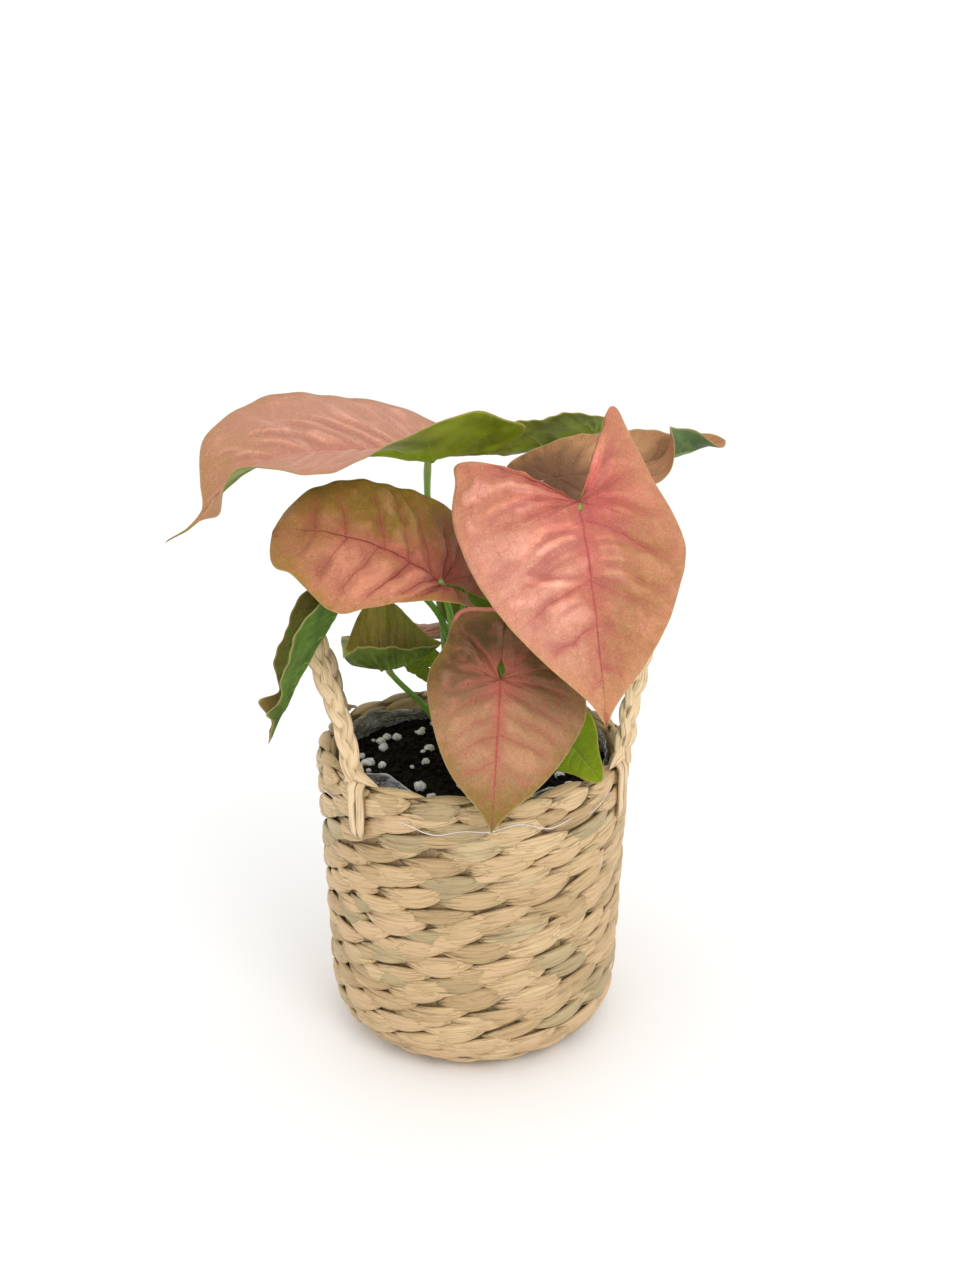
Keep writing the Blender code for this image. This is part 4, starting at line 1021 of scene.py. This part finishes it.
def stitch(parts, rng, angle, travel, arc, radius, half_height, tilt, relief=2.3, steps=18):
    """One flat strand that comes out of the weave, crosses a stake and goes in under the next one."""
    u = np.linspace(0, 1, steps)[:, None]
    across, lift = STITCH_ACROSS[None, :], STITCH_LIFT[None, :]
    middle = np.sin(math.pi * u**1.2)
    swell = middle**0.7
    v = across * (half_height * rng.uniform(0.88, 1.15) * swell + 0.2)
    bow = rng.uniform(-2.2, 0.3) * (middle - 0.6)
    crease = 0.0
    for _ in range(STRAND_CREASES):
        where, drift = rng.uniform(-0.85, 0.85), rng.uniform(-0.5, 0.5)
        near = np.clip(rng.choice((0.7, 1.0, 1.2, 1.9)) - rng.uniform(1.5, 2.5) * u, 0.08, 1)
        crease = crease - rng.uniform(0.2, 0.75) * near * bell(across - where - drift * (u - 0.3), 0, 0.13)
    thick = np.where(lift > 0, relief * swell**0.7, 1.2)
    slope = 0.3 * across * rng.uniform(-1.0, 0.4) * swell
    height = -SINK - 1.6 * (1 - swell) + 0.5 * (u - 0.5) + slope
    height = height + thick * np.sign(lift) * np.abs(lift) ** 0.5
    height = height + np.where(lift > 0.12, crease * swell**0.5, 0)
    run = (u - 0.5) * arc * np.ones_like(v)
    place = on_wall(angle + run / radius, travel + v + bow + math.tan(tilt) * run, height)
    place[..., 2] = np.maximum(place[..., 2], 0.05)
    tone = rng.random()
    # Painted shade: darker where the strand sinks into the weave, in its creases, towards its ends and at
    # its edges
    depth = ease(-height, 1.0, 3.2) + 0.7 * ease(-crease, 0.1, 0.7) + 0.35 * (1 - swell) ** 2
    parts.add(
        place, tube_faces(steps, len(STITCH_LIFT)), tone=tone, calm=swell * np.ones_like(v),
        fibre=np.stack([run * 0.05 + 30 * tone, v * 0.9 + 50 * tone, height * 0.9], -1),
        depth=np.clip(depth + 0.5 * np.abs(across) ** 9, 0, 1),
    )


def make_basket(skin):
    """Rows of leaning stitches from the middle of the base up the outside and over the rim."""
    rng = random.Random(WEAVE_SEED)
    lower, upper, narrow, hidden = Parts(), Parts(), Parts(), Parts()
    for row in range(ROWS - 1):
        travel = (row + 0.5) * ROW
        radius = float(wall_profile(travel)[0])
        pitch = TAU * radius / STITCHES
        for k in range(STITCHES):
            angle = TAU * (k - row / 3) / STITCHES + rng.uniform(-0.03, 0.03)
            arc = pitch * rng.uniform(1.2, 1.45)
            lift = travel + rng.uniform(-0.7, 0.7)
            more = 3 * ease(math.cos(angle), 0.2, 0.9)
            lean = math.radians(rng.uniform(2, 11) + more)
            half = rng.uniform(0.44, 0.58) * ROW
            stitch(lower if row < ROWS // 2 else upper, rng, angle, lift, arc, radius, half, lean)
            angle += math.pi / STITCHES + rng.uniform(-0.05, 0.05)
            arc = pitch * rng.uniform(0.9, 1.25)
            lift = travel + rng.choice((-0.42, 0.42, 0.5)) * ROW + rng.uniform(-0.6, 0.6)
            lean = math.radians(rng.uniform(2, 12) + more)
            half = rng.uniform(0.32, 0.46) * ROW
            stitch(narrow, rng, angle, lift, arc, radius, half, lean, rng.uniform(1.4, 2.2), 14)
    lower.piece("basket_weave_lower", skin, "woven_straw", ("basket",))
    upper.piece("basket_weave_upper", skin, "woven_straw", ("basket",))
    narrow.piece("basket_fine_strands", skin, "woven_straw")
    # Rows on and behind the rim, then under the base: where, how many stitches and their half height
    rows = [(ROW * (ROWS - 0.45), 22, 0.62), (ROW * (ROWS + 0.55), 18, 0.55), (ROW * (ROWS + 1.5), 18, 0.5)]
    rows += [(-ROW * (k + 0.5), max(4, 12 - 2 * k), 0.5) for k in range(5)]
    for travel, count, share in rows:
        radius = max(4.0, float(wall_profile(travel)[0]))
        for k in range(count):
            angle = TAU * (k + travel) / count + rng.uniform(-0.02, 0.02)
            arc = TAU * radius / count * 1.28
            lean = math.radians(rng.uniform(5, 9))
            stitch(hidden, rng, angle, travel, arc, radius, share * ROW, lean, 2.0)
    hidden.piece("basket_rim_and_base", skin, "woven_straw")


def make_stakes(skin):
    """The wall behind the stitches: upright stakes and the woven inside face."""
    angles = circle(192)
    travel = np.linspace(-48, CORNER_LENGTH + WALL_LENGTH + math.pi * RIM_TURN + 2, 70)
    height = 0.5 * np.cos(STAKES * angles) - STAKE_DEPTH
    rings = [on_wall(angles, np.full_like(angles, s), height) for s in travel]
    for z in np.linspace(RIM_HEIGHT - 7, 11, 40):
        r = inside(INSIDE_RADIUS, z) + 0.5 * np.sin(STAKES * angles + TAU * z / ROW)
        rings.append(round_axis(r - 14 * ease(z, 16, 8), angles, z))
    rings = np.array(rings)
    high = rings[..., 2]
    # Painted shade: the wall behind the stitches half dark, the inside face a little dark
    depth = np.full(high.shape, 0.5)
    depth[len(travel):] = 0.2
    values = dict(tone=0.4, calm=0.0, depth=depth, fibre=stacked(high * 0.1, angles * 60, 0.0))
    faces = tube_faces(len(rings), len(angles))
    piece("basket_stakes", rings, faces, [skin], (), None, values)


# Handles


HANDLE_HALF_CHORD = 40
HANDLE_RISE = 61
HANDLE_FOOT_X = 58
HANDLE_LEAN = {-1: 21, 1: 23}
HANDLE_TURN = 11
BRAID_LIFT = 2.9
STRANDS = 3
STRAND_SWING = 2.2
STRAND_WIDTH = 2.6
STRAND_THICKNESS = 1.05
BRAID_PITCH = 38
BRAID_SEED = 5
STRAND_OVER = 1.35
STRAND_LEAN = 0.22
FOOT_SINK = 120
FOOT_OUT = 3.5
TAIL_SPREAD = 1.95
TAIL_DROP = 24
TAIL_CLEAR = 1.3
# Course of a tail: out from where it lies clear of the wall, up from the rim, and sideways
TAIL_CORNERS = (
    (-4.0, 0.5, 0), (-1.4, -0.4, 0), (-0.1, -3.0, 0), (0, -7, 0), (0.1, -14, 0.3),
    (-0.3, 1 - TAIL_DROP, -0.4), (-2.0, -TAIL_DROP - 2.5, -0.9),
)


def turned(points):
    """The handles sit a little round from the basket's sides, the left one nearer the front."""
    cos, sin = math.cos(math.radians(HANDLE_TURN)), math.sin(math.radians(HANDLE_TURN))
    x, y, z = points[..., 0], points[..., 1], points[..., 2]
    return np.stack([x * cos - y * sin, x * sin + y * cos, z], -1)


def handle_centre(share, side):
    """Points of the arch from its front foot (0) to its back foot (1). side is -1 left, +1 right."""
    angle = math.pi * np.asarray(share, float)
    x = side * (HANDLE_FOOT_X + HANDLE_LEAN[side] * np.sin(angle))
    y = -HANDLE_HALF_CHORD * np.cos(angle)
    z = RIM_HEIGHT + BRAID_LIFT + HANDLE_RISE * np.clip(np.sin(angle), 0, 1) ** 0.9
    return turned(np.stack([x, y, z], -1))


def strand(parts, rng, route, flat_way, width, thick, sides=16):
    """A flattened dry stem along a route, creased lengthwise. flat_way is its broad direction by ring."""
    rings, painted_shades = [], []
    turn = circle(sides)
    width, thick = np.broadcast_to(width, len(route)), np.broadcast_to(thick, len(route))
    folds = [(rng.uniform(0, TAU), rng.uniform(0.06, 0.22), rng.uniform(0.5, 2.0)) for _ in range(5)]
    travel = travelled(route)
    for k, point in enumerate(route):
        first, second = ways_across(route, k, flat_way[k])
        fold = np.zeros(sides)
        for where, deep, drift in folds:
            gap = (turn - where - 0.6 * math.sin(travel[k] / 18 + drift) + math.pi) % TAU - math.pi
            fold -= deep * bell(gap, 0, 0.28)
        pinch = 1 + 0.05 * math.sin(travel[k] / 4.5 + folds[0][0] * 3)
        a = np.cos(turn) * (width[k] * pinch + fold)
        b = np.sign(np.sin(turn)) * np.abs(np.sin(turn)) ** 0.55 * (thick[k] + fold)
        rings.append(point + a[:, None] * first + b[:, None] * second)
        # Painted shade in the lengthwise folds and at the strand's edges
        painted_shades.append(-fold * 0.8 + 0.45 * np.abs(np.cos(turn)) ** 8)
    tone = rng.random()
    fibre = stacked(travel[:, None] * 0.07 + 40 * tone, np.cos(turn) * 3, np.sin(turn) * 3)
    faces = tube_faces(len(route), sides)
    parts.add(rings, faces, tone=0.4 + 0.5 * tone, fibre=fibre, depth=painted_shades, calm=0.8)


def make_handle(name, side, skin):
    """Three flat strands plaited over an arch, with two ends at each foot that run down the wall."""
    rng = random.Random(BRAID_SEED + side)
    parts = Parts()
    share = np.linspace(-0.035, 1.035, 210)
    centre = handle_centre(np.clip(share, 0, 1), side)
    centre[:, 2] -= np.clip(np.abs(share - 0.5) - 0.5, 0, None) * FOOT_SINK
    outward = centre * [1, 1, 0] / np.hypot(centre[:, 0], centre[:, 1])[:, None]
    centre += FOOT_OUT * ease(np.abs(share - 0.5), 0.38, 0.5)[:, None] * outward
    side_way = turned(np.cross(np.array([0.25 * side, 0, 1.0]), np.array([0, 1.0, 0])))
    ahead = unit(np.gradient(centre, axis=0))
    first = unit(side_way - ahead * (ahead @ side_way)[:, None])
    second = np.cross(ahead, first)
    for k in range(STRANDS):
        phase = TAU * travelled(centre) / BRAID_PITCH + TAU * k / STRANDS
        out, over = STRAND_SWING * np.sin(phase), STRAND_OVER * np.sin(2 * phase)
        route = centre + out[:, None] * first + over[:, None] * second
        lean = first + STRAND_LEAN * np.cos(2 * phase)[:, None] * second
        strand(parts, rng, route, lean, STRAND_WIDTH, STRAND_THICKNESS)
    for end in (0, 1):
        foot = handle_centre(end, side)
        for one in (-1, 1):
            make_tail(parts, rng, foot, one)
        make_end(parts, rng, foot, side * (1 if end else -1))
    parts.piece(f"{name}_braid", skin, "braided_straw", (name,))


def make_end(parts, rng, foot, way):
    """A short pointed strand end that lies on the rim beside the foot, over the tops of the tails."""
    share = np.linspace(0, 1, 14)
    angle = math.atan2(foot[1], foot[0]) + way * (-0.05 + 0.25 * share)
    z = RIM_HEIGHT + 4.2 - (3.4 if foot[1] < 0 else 5.2) * share
    route = round_axis(RIM_RADIUS - 1.6 + 0.9 * share, angle, z)
    strand(parts, rng, route, round_axis(0.7, angle, -0.75), 3.3 * (1.02 - share) ** 0.6, 1.1 - 0.5 * share)


def make_tail(parts, rng, foot, one):
    """One strand end: out from under the plait, over the rim and down the outside of the wall."""
    front = -1 if foot[1] > 0 else 1
    toward = front * math.copysign(math.radians(2.5), -foot[0])
    angle = math.atan2(foot[1], foot[0]) + toward + one * math.radians(TAIL_SPREAD)
    out = np.array([math.cos(angle), math.sin(angle), 0])
    sideways = np.array([-out[1], out[0], 0])
    clear = RIM_RADIUS + TAIL_CLEAR
    corners = [out * (clear + a) + [0, 0, RIM_HEIGHT + b] + sideways * c * one for a, b, c in TAIL_CORNERS]
    route = smooth_curve(corners, 7)
    width = 2.3 * (1 - 0.85 * ease(np.linspace(0, 1, len(route)), 0.78, 1.0))
    strand(parts, rng, route, np.tile(sideways, (len(route), 1)), width, 0.9, 14)


# Liner, thread and soil


FILM_THICKNESS = 0.25
FILM_PEAKS = ((232, 14, 6.0), (150, 14, 3.0), (40, 12, 2.5))
THREAD_RADIUS = 0.24
SOIL_RADIUS = 65.8
CRUMBS = dict(seed=21, count=900, sizes=(0.7, 2.2), reach=64, raised=0.1)
PERLITE = dict(seed=22, count=75, sizes=(1.3, 3.8), reach=62, raised=0.55)


def make_liner(film):
    """Thin clear film, crumpled where it stands free above the soil."""
    count, rows = 220, 12
    angles = circle(count)
    edge = LINER_TOP + 1.2 * np.sin(5 * angles + 0.6) + 0.8 * np.sin(11 * angles)
    edge = edge + 0.5 * np.sin(23 * angles + 1)
    for degrees, spread, rise in FILM_PEAKS:
        edge = edge + rise * bell((np.degrees(angles) - degrees + 180) % 360 - 180, 0, spread)
    rings = []
    for thickness in (0.0, FILM_THICKNESS):
        layer = []
        for k in range(rows):
            z = (SOIL_TOP - 5) + (edge - SOIL_TOP + 5) * (k / (rows - 1))
            fold = np.abs(np.sin(9.5 * angles + 2.2 * np.sin(3 * angles + 0.35 * k)))
            fold = fold + 0.6 * np.abs(np.sin(21 * angles + 1.4 * np.sin(5 * angles) + 0.5 * k))
            free = ease(z, SOIL_TOP - 2, SOIL_TOP + 6) * (0.4 + 1.3 * fold)
            layer.append(round_axis(inside(FILM_RADIUS, z) - 0.3 - thickness - free, angles, z))
        rings += layer if thickness == 0 else layer[::-1]
    drop = np.array([edge - ring[:, 2] for ring in rings])
    run = 66 * np.abs(angles - math.pi)
    values = dict(drop=drop, lengthwise=stacked(run * 0.09, drop * 0.5 + 0.03 * run, 0.0))
    faces = tube_faces(2 * rows, count, closed=True)
    piece("liner_film", rings, faces, [film], ("liner",), None, values)


def make_thread(skin):
    """The clear thread: it dips between stitches and comes out over them."""
    angles, turn = circle(320), circle(8)
    z = THREAD_HEIGHT + 1.6 * np.sin(8 * angles) + 0.9 * np.sin(19 * angles + 1)
    r = RIM_RADIUS - 0.1 + 0.5 * np.sin(16 * angles + 0.8) + 0.8 * np.sin(3 * angles - 0.6)
    centre = round_axis(r, angles, z)
    out = centre * [1, 1, 0] / r[:, None]
    around = np.cos(turn)[:, None] * out[:, None] + np.sin(turn)[:, None] * [0, 0, 1]
    faces = tube_faces(len(angles), len(turn), closed=True)
    rings = centre[:, None] + THREAD_RADIUS * around
    piece("running_thread", rings, faces, [skin], ("wrap_thread",))


def soil_height(x, y):
    """Crumbly ground, level at the film."""
    roll = np.sin(x * 0.41 + 1.0) * np.cos(y * 0.37) + 0.6 * np.sin(x * 0.93 - y * 0.71)
    level = np.clip(1 - np.hypot(x, y) / 63, 0, 1)
    return SOIL_TOP + 1.1 * roll * np.minimum(1.0, 3 * level)


def lump(rng, radius):
    """An irregular small stone: points and faces of a flattened knobbly ball."""
    rings, sides, squash = 6, 9, 0.75
    points = [(0, 0, -radius * squash)]
    for k in range(1, rings):
        polar = math.pi * k / rings
        for turn in circle(sides):
            r = radius * rng.uniform(0.86, 1.12)
            wide = r * math.sin(polar)
            points.append((wide * math.cos(turn), wide * math.sin(turn), -r * squash * math.cos(polar)))
    points.append((0, 0, radius * squash))
    last, top = 1 + (rings - 2) * sides, len(points) - 1
    faces = [(0, 1 + (j + 1) % sides, 1 + j) for j in range(sides)]
    faces += [tuple(1 + k for k in face) for face in tube_faces(rings - 1, sides)[:-2]]
    faces += [(last + j, last + (j + 1) % sides, top) for j in range(sides)]
    spin = rng.uniform(0, TAU)
    points = np.array(points) * [rng.uniform(0.8, 1.25), 1, 1]
    cos, sin = math.cos(spin), math.sin(spin)
    return points @ np.array([[cos, sin, 0], [-sin, cos, 0], [0, 0, 1]]), faces


def scatter(seed, count, sizes, reach, raised):
    """Lumps over the soil, clear of the stalks."""
    rng, parts, number = random.Random(seed), Parts(), 0
    while number < count:
        distance, angle = reach * math.sqrt(rng.random()), rng.uniform(0, TAU)
        x, y = distance * math.cos(angle), distance * math.sin(angle)
        size = rng.uniform(*sizes) * rng.uniform(0.6, 1.0)
        if min(math.dist((x, y), foot) for foot, *_ in STALKS.values()) < size + 2.4:
            continue
        points, faces = lump(rng, size)
        parts.add(points + [x, y, float(soil_height(x, y)) + raised * size], faces)
        number += 1
    return parts


def make_soil(earth, perlite):
    """Dark crumbly soil with crumbs and white perlite."""
    angles, rings = circle(150), []
    for share in np.arange(60) / 59:
        r = 0.4 + (SOIL_RADIUS - 0.4) * share**0.8
        flat = round_axis(r, angles, 0.0)
        rough = 0.9 * waves3(flat, 6, 3) + 0.6 * waves3(flat, 2.6, 4)
        rings.append(flat + stacked(0.0, 0.0, soil_height(flat[:, 0], flat[:, 1]) + rough - 0.4))
    rings.append(rings[-1] * [1, 1, 0] + [0, 0, SOIL_TOP - 12])
    rings.append(rings[-1] * [0.05, 0.05, 1])
    faces = [face[::-1] for face in tube_faces(len(rings), len(angles))]
    piece("soil_ground", rings, faces, [earth], ("soil",))
    scatter(**CRUMBS).piece("soil_crumbs", earth, "potting_soil")
    scatter(**PERLITE).piece("perlite_grains", perlite, "potting_soil")


# Stage


CAMERA_PLACE = (0.0033, -0.5113, 0.3453)
CAMERA_PITCH = 73.1
LENS = 32.0
SENSOR = 36.0
FLOOR_SIZE = 6.0
WORLD_STRENGTH = 1.08
PLANT_MIDDLE = (0, 0, 0.17)
# Where each light hangs, its size and its power
LIGHTS = {"key_light": ((0.8, -1.2, 1.5), 0.8, 9), "fill_light": ((-1.3, -0.8, 1.0), 1.2, 1.5)}


def linked(name, data):
    """A thing of the stage with this data."""
    thing = bpy.data.objects.new(name, data)
    bpy.context.scene.collection.objects.link(thing)
    return thing


def area_light(name, place, size, power):
    """A soft square light that looks at the middle of the plant."""
    lamp = bpy.data.lights.new(name, "AREA")
    lamp.size = size
    lamp.energy = power
    thing = linked(name, lamp)
    thing.location = place
    thing.rotation_euler = (Vector(PLANT_MIDDLE) - Vector(place)).to_track_quat("-Z", "Y").to_euler()


def make_stage():
    mesh = bpy.data.meshes.new("floor")
    corners = [(x * FLOOR_SIZE, y * FLOOR_SIZE, 0) for x, y in ((-1, -1), (1, -1), (1, 1), (-1, 1))]
    mesh.from_pydata(corners, [], [(0, 1, 2, 3)])
    mesh.materials.append(mottled("pale_floor", 60, (0.93, 0.93, 0.93), (0.94, 0.94, 0.94), 0.6))
    floor = linked("floor", mesh)
    world = bpy.data.worlds.new("soft_white")
    world.use_nodes = True
    background = world.node_tree.nodes["Background"]
    background.inputs["Color"].default_value = (1, 1, 1, 1)
    background.inputs["Strength"].default_value = WORLD_STRENGTH
    scene = bpy.context.scene
    scene.world = world
    for name, light in LIGHTS.items():
        area_light(name, *light)
    scene.view_settings.view_transform = "Standard"
    camera = bpy.data.cameras.new("camera")
    camera.lens = LENS
    camera.sensor_width = SENSOR
    scene.camera = linked("camera", camera)
    scene.camera.location = CAMERA_PLACE
    scene.camera.rotation_euler = (math.radians(CAMERA_PITCH), 0, 0)


def main():
    make_stage()
    weave = straw("woven_straw", WEAVE_LIGHT, WEAVE_DARK)
    braid = straw("braided_straw", BRAID_LIGHT, BRAID_DARK)
    make_basket(weave)
    make_stakes(weave)
    make_handle("handle_left", -1, braid)
    make_handle("handle_right", 1, braid)
    make_liner(clear_film())
    make_thread(mottled(
        "clear_thread", 5, (0.70, 0.60, 0.60), (0.92, 0.88, 0.90), 0.15, Alpha=0.8, Specular_IOR_Level=0.8,
    ))
    make_soil(dark_soil(), white_perlite())
    skin = stalk_skin()
    for seed, name in enumerate(LEAVES):
        make_leaf(name, seed)
        make_stalk(name, skin)


main()
